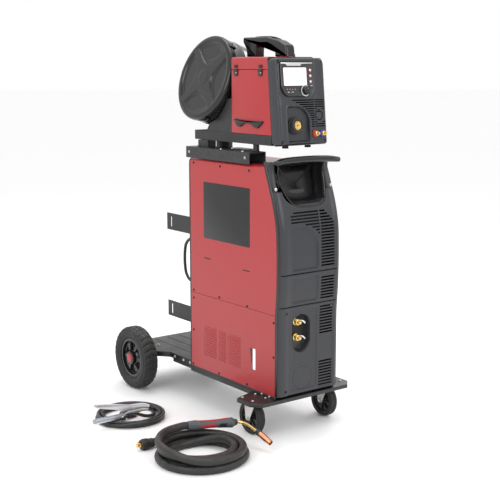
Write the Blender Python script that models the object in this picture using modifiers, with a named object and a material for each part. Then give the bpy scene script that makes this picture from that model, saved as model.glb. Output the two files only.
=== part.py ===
"""MIG welding power source on a trolley, with a swivelling wire feeder, torch and earth lead.

Units are metres, +Z is up and the front faces -Y. The origin is on the floor, under the middle of the
trolley. A depth is measured backwards from the front edge of the side panels, which is at FRONT_Y.
"""
import math

import bmesh
import bpy
from mathutils import Matrix, Vector

# Driving dimensions
GAP = 0.0003
FRONT_Y = -0.4715
BODY_HALF = 0.141
BODY_REAR = 0.534
SHEET = 0.002
FLOOR_Z = 0.153
SEAM_Z = 0.4535
ROOF_Z = 0.983
MODULE_SEAM_Z = 0.600

TRAY_TOP = 0.142
TRAY_DEEP = 0.014
CASTER_X = 0.174
CASTER_DEPTH = 0.071
CASTER_TRAIL = 0.020
CASTER_R = 0.0625
WHEEL_X = 0.217
WHEEL_DEPTH = 0.841
WHEEL_R = 0.130
AXLE_R = 0.010

BASE_Z = 1.053
FEEDER_Z = 1.0885
FEEDER_TOP = 1.364
FEEDER_LEFT = -0.108
FEEDER_RIGHT = 0.1055
FEEDER_REAR = 0.3055
PIVOT = (0.0, 0.498)
LEAN = math.radians(5.5)
FASCIA_DEPTH = 0.012
FASCIA_THICK = 0.050

DRUM_TILT = math.radians(17.5)
DRUM_FACE = (-0.112, 0.484, 1.291)
DRUM_R = 0.165
DRUM_LONG = 0.133
LID_THICK = 0.022

HOSE_D = 0.028
HOSE_COIL = (-0.472, -0.010)
LEAD_D = 0.013
LEAD_COIL = (-0.447, 0.505)

FINISHES = {
    "red_paint": ((0.43, 0.018, 0.022), 0.42, 0.0),
    "black_paint": ((0.012, 0.012, 0.013), 0.45, 0.0),
    "grey_plastic": ((0.045, 0.047, 0.055), 0.5, 0.0),
    "black_plastic": ((0.010, 0.010, 0.011), 0.35, 0.0),
    "rubber": ((0.014, 0.014, 0.015), 0.8, 0.0),
    "zinc": ((0.60, 0.60, 0.58), 0.35, 1.0),
    "steel": ((0.55, 0.55, 0.56), 0.35, 1.0),
    "brass": ((0.75, 0.52, 0.18), 0.3, 1.0),
    "copper": ((0.72, 0.32, 0.20), 0.35, 1.0),
    "tank": ((0.75, 0.76, 0.78), 0.5, 0.0),
    "glass": ((0.02, 0.02, 0.025), 0.1, 0.0),
    "wire": ((0.70, 0.42, 0.25), 0.35, 1.0),
}


def clear_scene():
    """Removes every object, so that the file holds only the welder."""
    for old in list(bpy.data.objects):
        bpy.data.objects.remove(old, do_unlink=True)


def new_collection(name, hidden):
    """Makes a collection under the scene; a hidden one holds cutters."""
    made = bpy.data.collections.new(name)
    made.hide_render = hidden
    bpy.context.scene.collection.children.link(made)
    return made


def finish(name):
    """The Principled material of one finish, made once."""
    if name in bpy.data.materials:
        return bpy.data.materials[name]
    colour, rough, metal = FINISHES[name]
    made = bpy.data.materials.new(name)
    made.use_nodes = True
    shader = made.node_tree.nodes["Principled BSDF"]
    shader.inputs["Base Color"].default_value = (*colour, 1.0)
    shader.inputs["Roughness"].default_value = rough
    shader.inputs["Metallic"].default_value = metal
    return made


def place(x, depth, z):
    """A point given by its depth behind the front edge."""
    return Vector((x, FRONT_Y + depth, z))


def add_object(name, mesh, look):
    """Links a mesh as a part of the welder, with its finish."""
    made = bpy.data.objects.new(name, mesh)
    PARTS.objects.link(made)
    if look:
        mesh.materials.append(finish(look))
    return made


def as_helper(obj):
    """Moves an object to the cutters' collection."""
    for owner in list(obj.users_collection):
        owner.objects.unlink(obj)
    CUTTERS.objects.link(obj)
    obj.hide_render = True
    obj.display_type = "WIRE"
    return obj


def combine(target, operation, others):
    """Joins to a part, or cuts from it, the other objects, which become helpers."""
    for other in others:
        modifier = target.modifiers.new(operation.lower(), "BOOLEAN")
        modifier.operation = operation
        modifier.solver = "EXACT"
        modifier.object = as_helper(other)
    return target


def join(target, *others):
    """Unions other solids into a part."""
    return combine(target, "UNION", others)


def cut(target, *others):
    """Cuts other solids out of a part."""
    return combine(target, "DIFFERENCE", others)


def mesh_from(name, bm, look):
    """Writes a bmesh into a new part, with its faces outward."""
    bm.normal_update()
    bmesh.ops.recalc_face_normals(bm, faces=bm.faces)
    mesh = bpy.data.meshes.new(name)
    bm.to_mesh(mesh)
    bm.free()
    return add_object(name, mesh, look)


def box(name, low, high, look, bevel=0.0):
    """A block between two corners, given as (x, depth, z)."""
    bm = bmesh.new()
    bmesh.ops.create_cube(bm, size=1.0)
    low, high = place(*low), place(*high)
    centre, size = (low + high) / 2, high - low
    for vertex in bm.verts:
        vertex.co = centre + Vector(a * b for a, b in zip(vertex.co, size))
    made = mesh_from(name, bm, look)
    if bevel:
        modifier = made.modifiers.new("edges", "BEVEL")
        modifier.width = bevel
        modifier.segments = 2
    return made


def rod(name, start, end, radius, look, sides=16, tip=None):
    """A round bar or a cone between two points, given as (x, depth, z)."""
    start, end = place(*start), place(*end)
    along = end - start
    bm = bmesh.new()
    turn = along.to_track_quat("Z", "Y").to_matrix().to_4x4()
    where = Matrix.Translation((start + end) / 2) @ turn
    bmesh.ops.create_cone(bm, cap_ends=True, segments=sides, radius1=radius,
                          radius2=radius if tip is None else tip, depth=along.length, matrix=where)
    return mesh_from(name, bm, look)


def mesh_of(obj, name, look):
    """The mesh of a curve, as a new part with its caps welded."""
    bpy.context.view_layer.update()
    graph = bpy.context.evaluated_depsgraph_get()
    mesh = bpy.data.meshes.new_from_object(obj.evaluated_get(graph))
    bm = bmesh.new()
    bm.from_mesh(mesh)
    bmesh.ops.transform(bm, matrix=obj.matrix_world, verts=bm.verts)
    bmesh.ops.remove_doubles(bm, verts=bm.verts, dist=0.00001)
    bpy.data.objects.remove(obj, do_unlink=True)
    bpy.data.meshes.remove(mesh)
    return mesh_from(name, bm, look)


def rounded(corners, radius, steps=3):
    """A polygon with each corner turned into an arc of a radius, or of its own as a third value."""
    points = []
    count = len(corners)
    for index, corner in enumerate(corners):
        here = Vector(corner[:2])
        reach = corner[2] if len(corner) > 2 else radius
        if reach <= 0:
            points.append(here)
            continue
        before = (Vector(corners[index - 1][:2]) - here).normalized()
        after = (Vector(corners[(index + 1) % count][:2]) - here).normalized()
        half = before.angle(after) / 2
        tangent = reach / math.tan(half)
        start, stop = here + before * tangent, here + after * tangent
        centre = here + (before + after).normalized() * (reach / math.sin(half))
        for step in range(steps + 1):
            spoke = (start - centre).lerp(stop - centre, step / steps).normalized()
            points.append(centre + spoke * reach)
    return points


def inset(outline, wall):
    """An anticlockwise outline moved inwards by a wall's thickness."""
    moved = []
    count = len(outline)
    for index in range(count):
        here = Vector(outline[index][:2])
        before = (here - Vector(outline[index - 1][:2])).normalized()
        after = (Vector(outline[(index + 1) % count][:2]) - here).normalized()
        normals = Vector((-before.y, before.x)), Vector((-after.y, after.x))
        middle = (normals[0] + normals[1]).normalized()
        moved.append(here + middle * (wall / middle.dot(normals[0])))
    return moved


def circle(centre, radius, sides=24):
    """The points of a circle in an outline's plane."""
    turns = (2 * math.pi * step / sides for step in range(sides))
    return [Vector((centre[0] + radius * math.cos(a), centre[1] + radius * math.sin(a))) for a in turns]


def plate(name, axis, outline, low, high, look, holes=()):
    """A flat outline given its thickness along an axis.

    Across X the outline is (depth, z), across Y it is (x, z) and across Z it is (x, depth).
    """
    curve = bpy.data.curves.new(name, "CURVE")
    curve.dimensions = "2D"
    curve.fill_mode = "BOTH"
    curve.extrude = (high - low) / 2
    for ring in (outline, *holes):
        spline = curve.splines.new("POLY")
        spline.points.add(len(ring) - 1)
        for point, spot in zip(spline.points, ring):
            point.co = (spot[0], spot[1], 0.0, 1.0)
        spline.use_cyclic_u = True
    drawn = bpy.data.objects.new(name + "_outline", curve)
    PARTS.objects.link(drawn)
    middle = (low + high) / 2
    if axis == "X":
        rows = ((0, 0, 1, middle), (1, 0, 0, FRONT_Y), (0, 1, 0, 0))
    elif axis == "Y":
        rows = ((1, 0, 0, 0), (0, 0, -1, FRONT_Y + middle), (0, 1, 0, 0))
    else:
        rows = ((1, 0, 0, 0), (0, 1, 0, FRONT_Y), (0, 0, 1, middle))
    drawn.matrix_world = Matrix((*rows, (0, 0, 0, 1)))
    return mesh_of(drawn, name, look)


def turned(name, profile, centre, axis, look, steps=24, ring=False):
    """A profile of (radius, height) points turned about an axis through a point (x, depth, z).

    The outer side runs from the top down. A ring's profile is closed and stays off the axis.
    """
    mesh = bpy.data.meshes.new(name)
    count = len(profile)
    edges = [(index, (index + 1) % count) for index in range(count if ring else count - 1)]
    mesh.from_pydata([(radius, 0.0, height) for radius, height in profile], edges, [])
    made = add_object(name, mesh, look)
    screw = made.modifiers.new("turn", "SCREW")
    screw.axis = "Z"
    screw.steps = screw.render_steps = steps
    screw.use_merge_vertices = True
    screw.merge_threshold = 0.00005
    turn = Vector(axis).to_track_quat("Z", "Y").to_matrix().to_4x4()
    made.matrix_world = Matrix.Translation(place(*centre)) @ turn
    return made


def smooth_route(points, spacing):
    """Points a spacing apart along a smooth curve through hand-set points (Catmull-Rom)."""
    spots = [Vector(point) for point in points]
    ends = [2 * spots[0] - spots[1], *spots, 2 * spots[-1] - spots[-2]]
    route = []
    for first, start, stop, last in zip(ends, ends[1:], ends[2:], ends[3:]):
        steps = max(1, round((stop - start).length / spacing))
        for step in range(steps):
            t = step / steps
            bend = 2 * first - 5 * start + 4 * stop - last
            twist = 3 * start - first - 3 * stop + last
            route.append(start + 0.5 * ((stop - first) * t + bend * t * t + twist * t * t * t))
    return [*route, spots[-1]]


def tube(name, route, radius, look, spacing, sides=2):
    """A cord or bent pipe along a smooth route of (x, depth, z) points."""
    curve = bpy.data.curves.new(name, "CURVE")
    curve.dimensions = "3D"
    curve.bevel_depth = radius
    curve.bevel_resolution = sides
    curve.use_fill_caps = True
    spline = curve.splines.new("POLY")
    points = smooth_route(route, spacing)
    spline.points.add(len(points) - 1)
    for point, spot in zip(spline.points, points):
        point.co = (*place(*spot), 1.0)
    drawn = bpy.data.objects.new(name + "_route", curve)
    PARTS.objects.link(drawn)
    return mesh_of(drawn, name, look)


def mirrored(outline):
    """Adds the other half of an outline that lists its right half from front to rear."""
    return [*outline, *[(-x, y) for x, y in reversed(outline)]]


def build_trolley():
    """The tray with its caster ears and rails, the bottle tray, and the axle."""
    ears = mirrored([(0.202, -0.011), (0.235, 0.025), (0.235, 0.105), (0.153, 0.133),
                     (BODY_HALF, 0.145), (BODY_HALF, 0.545), (0.126, 0.548), (0.126, 0.700)])
    low = TRAY_TOP - TRAY_DEEP
    tray = plate("base_tray", "Z", ears, low, TRAY_TOP, "black_paint")
    cut(tray, plate("tray_pocket", "Z", inset(ears, 0.003), low - 0.01, TRAY_TOP - 0.004, None))
    for side in (-1, 1):
        x = side * CASTER_X
        join(tray, box(f"caster_plate_{side}", (x - 0.050, CASTER_DEPTH - 0.040, TRAY_TOP - 0.0070),
                       (x + 0.050, CASTER_DEPTH + 0.040, TRAY_TOP - 0.002), None))
        near, far = sorted((side * 0.112, side * 0.1405))
        join(tray, box(f"rail_{side}", (near, 0.004, TRAY_TOP - 0.001), (far, 0.5445, FLOOR_Z - GAP), None))

    outline = mirrored([(0.128, 0.5455), (0.128, 0.715), (0.172, 0.765), (0.172, 0.957)])
    bottle = plate("bottle_tray", "Z", outline, TRAY_TOP + GAP, 0.164, "black_paint")
    cut(bottle, plate("bottle_pocket", "Z", inset(outline, 0.003), 0.12, 0.160, None))
    for side in (-1, 1):
        low_x, high_x = sorted((side * 0.150, side * 0.154))
        ear = [(0.796, 0.162), (0.822, 0.108), (0.860, 0.108), (0.886, 0.162)]
        join(bottle, plate(f"axle_ear_{side}", "X", ear, low_x, high_x, None,
                           [circle((WHEEL_DEPTH, WHEEL_R), AXLE_R + 0.0006)]))
    rod("axle", (-0.246, WHEEL_DEPTH, WHEEL_R), (0.246, WHEEL_DEPTH, WHEEL_R), AXLE_R, "steel", 20)


def build_rear_wheel(side, word):
    """A tyre on its spoked rim, which turns on the axle."""
    tyre = [(0.083, 0.026), (0.105, 0.0325), (0.122, 0.030), (0.130, 0.019)]
    tyre += [(radius, -height) for radius, height in reversed(tyre)]
    rim_r = 0.083 - GAP
    rim = [(0.0106, 0.031), (0.027, 0.031), (0.027, 0.012), (0.070, 0.008), (0.070, 0.024), (rim_r, 0.024)]
    rim += [(radius, -height) for radius, height in reversed(rim)]
    centre = (side * WHEEL_X, WHEEL_DEPTH, WHEEL_R)
    turned(f"rear_tyre_{word}", tyre, centre, (1, 0, 0), "rubber", 32, ring=True)
    turned(f"rear_rim_{word}", rim, centre, (1, 0, 0), "black_plastic", 32, ring=True)


def build_caster(side, word):
    """A swivelling fork with its wheel, set back from the pivot by the trail."""
    x, axle_depth = side * CASTER_X, CASTER_DEPTH + CASTER_TRAIL
    top = TRAY_TOP - 0.0075
    fork = rod(f"caster_fork_{word}", (x, CASTER_DEPTH, top - 0.0055), (x, CASTER_DEPTH, top), 0.026, "zinc", 24)
    leg = [(-0.022, top - 0.0005), (-0.020, top - 0.020), (0.008, 0.054), (0.030, 0.054), (0.040, top - 0.0005)]
    leg = [(CASTER_DEPTH + depth, z) for depth, z in leg]
    join(fork, box(f"crown_{word}", (x - 0.0225, CASTER_DEPTH - 0.022, top - 0.0050),
                   (x + 0.0225, CASTER_DEPTH + 0.040, top - 0.0005), None))
    for hand in (-1, 1):
        near, far = sorted((x + hand * 0.0200, x + hand * 0.0225))
        join(fork, plate(f"leg_{word}_{hand}", "X", leg, near, far, None))
    join(fork, rod(f"bolt_{word}", (x - 0.027, axle_depth, CASTER_R), (x + 0.027, axle_depth, CASTER_R),
                   0.0055, None, 12))
    wheel = [(0.0060, 0.0175), (0.017, 0.0175), (0.017, 0.009), (0.044, 0.009), (0.046, 0.0145),
             (0.057, 0.016), (0.0625, 0.010)]
    wheel += [(radius, -height) for radius, height in reversed(wheel)]
    turned(f"caster_wheel_{word}", wheel, (x, axle_depth, CASTER_R), (1, 0, 0), "rubber", 24, ring=True)


def front_edge_cutter(name):
    """The space in front of the side panels' curved front edge."""
    edge = [(-0.05, 0.30), (0.0, 0.30), (0.0, 0.4535), (-0.007, 0.557), (-0.007, 0.680), (-0.003, 0.766),
            (0.017, 0.849), (0.044, 0.922), (0.067, 0.984), (0.080, 1.02), (-0.05, 1.02)]
    return plate(name, "X", edge, -0.2, 0.2, None)


def build_cabinet():
    """The inner frame, the sheet panels round it, and the rear wall with its glands."""
    inner = BODY_HALF - SHEET - 0.0005
    frame = box("inner_frame", (-inner, 0.020, FLOOR_Z - 0.0001), (inner, 0.532, FLOOR_Z + 0.003), "black_paint")
    join(frame, box("shelf", (-inner, 0.020, SEAM_Z - 0.003), (inner, 0.532, SEAM_Z), None))
    for side in (-1, 1):
        for number, depth in enumerate((0.084, 0.518)):
            near, far = sorted((side * (inner - 0.012), side * inner))
            join(frame, box(f"post_{side}_{number}", (near, depth, FLOOR_Z + 0.001), (far, depth + 0.012, 0.960), None))

    wide = BODY_HALF
    hood = rounded([(wide, SEAM_Z + GAP, 0), (wide, ROOF_Z), (-wide, ROOF_Z), (-wide, SEAM_Z + GAP, 0)], 0.018)
    thin = wide - SHEET
    roof = ROOF_Z - SHEET
    hollow = rounded([(-thin, SEAM_Z + GAP, 0), (-thin, roof), (thin, roof), (thin, SEAM_Z + GAP, 0)], 0.016)
    cover = plate("upper_cover", "Y", [*hood, *hollow], -0.008, BODY_REAR, "red_paint")
    cut(cover, front_edge_cutter("cover_front"))
    for side, word in ((-1, "left"), (1, "right")):
        near, far = sorted((side * (BODY_HALF - SHEET), side * BODY_HALF))
        box(f"lower_panel_{word}", (near, 0.0, FLOOR_Z), (far, BODY_REAR, SEAM_Z), "red_paint")

    back = rounded([(-wide, FLOOR_Z, 0.004), (wide, FLOOR_Z, 0.004), (wide, ROOF_Z), (-wide, ROOF_Z)], 0.018)
    rear = plate("rear_panel", "Y", back, BODY_REAR + GAP, 0.542, "black_plastic")
    for number, (x, z, radius, long) in enumerate(((-0.118, 0.655, 0.010, 0.016), (-0.118, 0.490, 0.010, 0.016),
                                                   (0.085, 0.245, 0.015, 0.030), (0.0, 0.245, 0.008, 0.022))):
        join(rear, rod(f"gland_{number}", (x, 0.536, z), (x, 0.542 + long, z), radius, None, 12))
    tube("rear_cable", [(-0.118, 0.5583, 0.655), (-0.118, 0.576, 0.655), (-0.118, 0.604, 0.630),
                        (-0.118, 0.613, 0.572), (-0.118, 0.604, 0.515), (-0.118, 0.576, 0.490),
                        (-0.118, 0.5583, 0.490)], 0.006, "rubber", 0.018)

    box("coolant_tank", (-0.120, 0.100, 0.165), (0.020, 0.450, 0.290), "tank", 0.012)
    inverter = box("inverter_block", (-0.110, 0.110, 0.470), (0.110, 0.440, 0.640), "steel", 0.004)
    join(inverter, box("board", (-0.100, 0.130, 0.630), (0.100, 0.420, 0.700), None))


def build_fan_and_switch():
    """The cooling fan inside the rear wall, and the main switch on it."""
    centre = (0.0, 0.505, 0.800)
    fan = turned("fan_rotor", [(0.0, 0.012), (0.028, 0.012), (0.028, -0.012), (0.0, -0.012)], centre,
                 (0, 1, 0), "black_plastic", 20)
    for number in range(5):
        angle = 2 * math.pi * number / 5
        blade = box(f"blade_{number}", (0.020, -FRONT_Y - 0.0015, -0.018), (0.082, -FRONT_Y + 0.0015, 0.018), None)
        twist = Matrix.Rotation(math.radians(55), 4, "X")
        spin = Matrix.Rotation(angle, 4, "Y")
        blade.matrix_world = Matrix.Translation(place(*centre)) @ spin @ twist
        join(fan, blade)
    switch = turned("main_switch", [(0.0, 0.012), (0.020, 0.012), (0.022, 0.0), (0.0, 0.0)],
                    (0.080, 0.542 + GAP, 0.900), (0, 1, 0), "black_plastic", 20)
    join(switch, box("switch_grip", (0.075, 0.550, 0.878), (0.085, 0.568, 0.922), None))


def build_bottle_brackets():
    """The two arms that hold the gas bottle, one above the other."""
    for word, low, high in (("upper", 0.677, 0.745), ("lower", 0.318, 0.383)):
        back = 0.542 + GAP
        arms = mirrored([(0.1215, back), (0.1215, 0.735), (0.1185, 0.735), (0.1185, back + 0.003)])
        plate(f"bottle_bracket_{word}", "Z", arms, low, high, "black_paint")


def build_front():
    """The moulded front: the handle insert, and the upper and lower modules."""
    face = 0.018
    upper = [(-0.001, MODULE_SEAM_Z + GAP), (-0.010, 0.680), (-0.006, 0.766), (0.014, 0.849), (0.030, 0.895),
             (0.075, 0.895), (0.075, MODULE_SEAM_Z + GAP)]
    upper = [(depth - face if depth < 0.05 else depth, z) for depth, z in upper]
    module = plate("front_upper", "X", upper, -0.1385, 0.1385, "grey_plastic")
    bowl = rounded([(-0.112, 1.02), (-0.098, 0.842), (0.102, 0.842), (0.112, 1.02)], 0.05, 5)
    cut(module, plate("hand_recess", "Y", bowl, -0.05, 0.060, None))
    arch = rounded([(-0.081, MODULE_SEAM_Z - 0.02, 0), (0.042, MODULE_SEAM_Z - 0.02, 0), (0.042, 0.767, 0.07),
                    (-0.081, 0.767, 0.006)], 0.01, 5)
    cut(module, plate("arch_panel", "Y", arch, -0.10, -0.020, None))

    side = [(0.034 - face, 0.895 + GAP), (0.052 - face, 0.940), (0.030, 0.975), (-0.012, 0.992), (-0.020, 1.000),
            (-0.012, 1.012), (0.055, 1.012), (0.0663, 0.9845), (0.0600, 0.9665), (0.0745, 0.966), (0.0745, 0.895 + GAP)]
    handle = plate("front_handle", "X", side, -0.1385, 0.1385, "black_plastic")
    pocket = rounded([(-0.112, 0.88, 0), (0.112, 0.88, 0), (0.112, 0.988), (-0.112, 0.988)], 0.02, 3)
    cut(handle, plate("grip_space", "Y", pocket, -0.06, 0.052, None))

    lower_face = -0.016
    lower = [(lower_face, FLOOR_Z + 0.0002), (lower_face, MODULE_SEAM_Z - 0.002), (0.018, MODULE_SEAM_Z - 0.002),
             (0.018, FLOOR_Z + 0.0002)]
    low_module = plate("front_lower", "X", lower, -0.1385, 0.1385, "grey_plastic")
    stadium = rounded([(-0.073, 0.308), (0.011, 0.308), (0.011, 0.449), (-0.073, 0.449)], 0.040, 6)
    floor = 0.012
    cut(low_module, plate("stadium", "Y", stadium, -0.05, floor, None))
    for word, z in (("upper", 0.419), ("lower", 0.361)):
        nipple = [(0.0, 0.034), (0.0075, 0.034), (0.0075, 0.024), (0.011, 0.022), (0.011, 0.010),
                  (0.014, 0.009), (0.014, 0.0), (0.0, 0.0)]
        turned(f"coolant_coupling_{word}", nipple, (-0.042, floor - GAP, z), (0, -1, 0), "brass", 16)


def build_feeder_support():
    """The channel and pivot on the cabinet's roof that carry the wire feeder."""
    foot, top = ROOF_Z + GAP, 1.026
    channel = [(-0.144, foot), (-0.144, top), (-0.068, top), (-0.068, foot), (-0.072, foot), (-0.072, top - 0.004),
               (-0.140, top - 0.004), (-0.140, foot)]
    support = plate("feeder_support", "Y", channel, 0.150, 0.556, "black_paint")
    join(support, box("cross_rail", (-0.100, 0.440, foot), (0.110, 0.5555, 1.010), None))
    join(support, box("rear_block", (-0.115, 0.450, top - 0.002), (-0.077, 0.515, BASE_Z - 0.001), None))
    join(support, rod("pivot_boss", (*PIVOT, 1.005), (*PIVOT, BASE_Z - 0.001), 0.030, None, 24))
    join(support, rod("pivot_pin", (*PIVOT, 1.040), (*PIVOT, 1.066), 0.012, None, 20))


def drum_point(height, radius=0.0, angle=0.0):
    """A point on the drum: height along its axis, out from the face, and a radius at an angle from the rear."""
    out = Vector((-math.cos(DRUM_TILT), 0.0, math.sin(DRUM_TILT)))
    up = Vector((math.sin(DRUM_TILT), 0.0, math.cos(DRUM_TILT)))
    spoke = Vector((0.0, math.cos(angle), 0.0)) + up * math.sin(angle)
    return Vector(DRUM_FACE) + out * height + spoke * radius


def build_drum():
    """The tilted drum: a tub with the spool hub, the wire spool, and the lid."""
    axis = (-math.cos(DRUM_TILT), 0.0, math.sin(DRUM_TILT))
    wall = DRUM_R - 0.0015
    tub = [(0.0, -0.034), (0.024, -0.034), (0.024, -0.129), (wall - 0.0035, -0.129),
           (wall - 0.0035, -LID_THICK - GAP), (wall, -LID_THICK - GAP), (wall, -DRUM_LONG), (0.0, -DRUM_LONG)]
    turned("spool_tub", tub, DRUM_FACE, axis, "black_plastic", 40)
    lid = [(0.0, 0.0), (0.147, 0.0), (DRUM_R - 0.004, -0.004), (DRUM_R, -0.011), (DRUM_R, -LID_THICK),
           (DRUM_R - 0.004, -LID_THICK), (DRUM_R - 0.005, -0.008), (0.0, -0.004)]
    turned("spool_lid", lid, DRUM_FACE, axis, "black_plastic", 40)
    spool = [(0.025, -0.031), (0.146, -0.031), (0.146, -0.035), (0.132, -0.035), (0.132, -0.119),
             (0.146, -0.119), (0.146, -0.123), (0.025, -0.123)]
    turned("wire_spool", spool, DRUM_FACE, axis, "wire", 32, ring=True)


def build_feeder_case():
    """The feeder's base, case, hood, door and handle."""
    base_outline = [(FEEDER_LEFT, 0.0662), (FEEDER_RIGHT, 0.0662), (FEEDER_RIGHT, 0.547), (FEEDER_LEFT, 0.547)]
    base = plate("feeder_base", "Z", base_outline, BASE_Z, FEEDER_Z - GAP, "black_paint")
    cut(base, plate("base_pocket", "Z", inset(base_outline, 0.004), BASE_Z + 0.005, 1.10, None),
        rod("pivot_hole", (*PIVOT, 1.04), (*PIVOT, 1.07), 0.0128, None, 20))
    cradle_side = [(FEEDER_REAR + 0.002, 1.082), (0.475, 1.082), (0.440, 1.130), (0.420, 1.200),
                   (FEEDER_REAR + 0.002, 1.215)]
    cradle = plate("cradle", "X", cradle_side, -0.106, 0.1035, None)
    cut(cradle, rod("drum_space", drum_point(0.05), drum_point(-0.16), DRUM_R + 0.0015, None, 40))
    cut(cradle, rod("hub_clear", (*PIVOT, 1.07), (*PIVOT, 1.10), 0.016, None, 20))
    join(base, cradle)
    for number, (x, depth, foot_z) in enumerate(((-0.100, 0.395, 1.0265), (-0.100, 0.165, 1.0265),
                                                 (-0.030, 0.085, 1.040), (0.075, 0.085, 1.040))):
        join(base, rod(f"foot_{number}", (x, depth, foot_z), (x, depth, BASE_Z + 0.002), 0.011, None, 12))

    shoulder = 0.008
    left, right, top = FEEDER_LEFT + SHEET + 0.0008, FEEDER_RIGHT - SHEET - GAP, FEEDER_TOP - SHEET - GAP
    section = rounded([(left, FEEDER_Z, 0), (right, FEEDER_Z, 0), (right, top), (left, top)], shoulder)
    body = plate("feeder_body", "Y", section, 0.050, FEEDER_REAR, "black_plastic")
    cut(body, front_cutter("body_front"),
        box("wire_side", (-0.2, 0.100, FEEDER_Z + 0.004), (-0.001, FEEDER_REAR - 0.004, 1.350), None),
        box("motor_side", (0.003, 0.100, FEEDER_Z + 0.004), (0.2, FEEDER_REAR - 0.004, 1.350), None))
    join(body, box("drive_plate", (-0.012, 0.130, 1.125), (0.001, 0.265, 1.235), None),
         rod("drive_motor", (0.001, 0.195, 1.170), (0.090, 0.195, 1.170), 0.032, None, 20),
         rod("roll_shaft", (-0.0275, 0.195, 1.160), (-0.010, 0.195, 1.160), 0.005, None, 12),
         rod("press_shaft", (-0.0275, 0.195, 1.193), (-0.010, 0.195, 1.193), 0.005, None, 12))

    hinge_z = 1.3205
    outer = rounded([(FEEDER_RIGHT, FEEDER_Z, 0), (FEEDER_RIGHT, FEEDER_TOP), (FEEDER_LEFT, FEEDER_TOP),
                     (FEEDER_LEFT, hinge_z, 0)], shoulder + SHEET)
    thin = SHEET
    inner = rounded([(FEEDER_LEFT + thin, hinge_z, 0), (FEEDER_LEFT + thin, FEEDER_TOP - thin),
                     (FEEDER_RIGHT - thin, FEEDER_TOP - thin), (FEEDER_RIGHT - thin, FEEDER_Z, 0)], shoulder)
    hood = plate("feeder_hood", "Y", [*outer, *inner], 0.050, FEEDER_REAR - GAP, "red_paint")
    cut(hood, front_cutter("hood_front"))

    low_z, high_z = FEEDER_Z + 0.001, hinge_z - 0.0015
    door_edge = [(front_line(low_z) + 0.001, low_z), (FEEDER_REAR - 0.001, low_z), (FEEDER_REAR - 0.001, high_z),
                 (front_line(high_z) + 0.001, high_z)]
    door = plate("feeder_door", "X", door_edge, FEEDER_LEFT, FEEDER_LEFT + SHEET - GAP, "red_paint")
    for number, depth in enumerate((0.130, 0.276)):
        knuckle = FEEDER_LEFT - 0.0025, high_z - 0.0025
        join(door, rod(f"hinge_{number}", (knuckle[0], depth - 0.012, knuckle[1]),
                       (knuckle[0], depth + 0.012, knuckle[1]), 0.0035, None, 12))
    grip = [(0.285, 1.141), (0.262, 1.116), (0.236, 1.118), (0.208, 1.127), (0.166, 1.117), (0.140, 1.113),
            (0.108, 1.138)]
    plate("door_pull", "X", grip, FEEDER_LEFT - 0.0083, FEEDER_LEFT - GAP, "black_plastic")

    arch = [(0.092, FEEDER_TOP + GAP), (0.160, FEEDER_TOP + GAP), (0.163, 1.384), (0.178, 1.402), (0.202, 1.411),
            (0.258, 1.411), (0.270, 1.402), (0.272, FEEDER_TOP + GAP), (0.3295, FEEDER_TOP + GAP), (0.332, 1.392),
            (0.352, 1.420), (0.350, 1.436), (0.212, 1.436), (0.140, 1.422), (0.110, 1.411), (0.092, 1.400)]
    plate("carry_handle", "X", arch, -0.022, 0.022, "black_plastic")


def front_line(z):
    """The depth of the leaning rear face of the feeder's front block at a height."""
    return FASCIA_DEPTH + FASCIA_THICK + (z - BASE_Z) * math.tan(LEAN)


def front_cutter(name):
    """The space in front of the leaning front block's rear face."""
    low, high = BASE_Z - 0.02, FEEDER_TOP + 0.02
    room = [(-0.05, low), (front_line(low) + GAP, low), (front_line(high) + GAP, high), (-0.05, high)]
    return plate(name, "X", room, -0.2, 0.2, None)


def lean_back(obj):
    """Tips an upright piece of the front block back about the block's lower front edge."""
    edge = place(0.0, FASCIA_DEPTH, BASE_Z)
    tip = Matrix.Translation(edge) @ Matrix.Rotation(-LEAN, 4, "X") @ Matrix.Translation(-edge)
    obj.matrix_world = tip @ obj.matrix_world
    return obj


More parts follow.
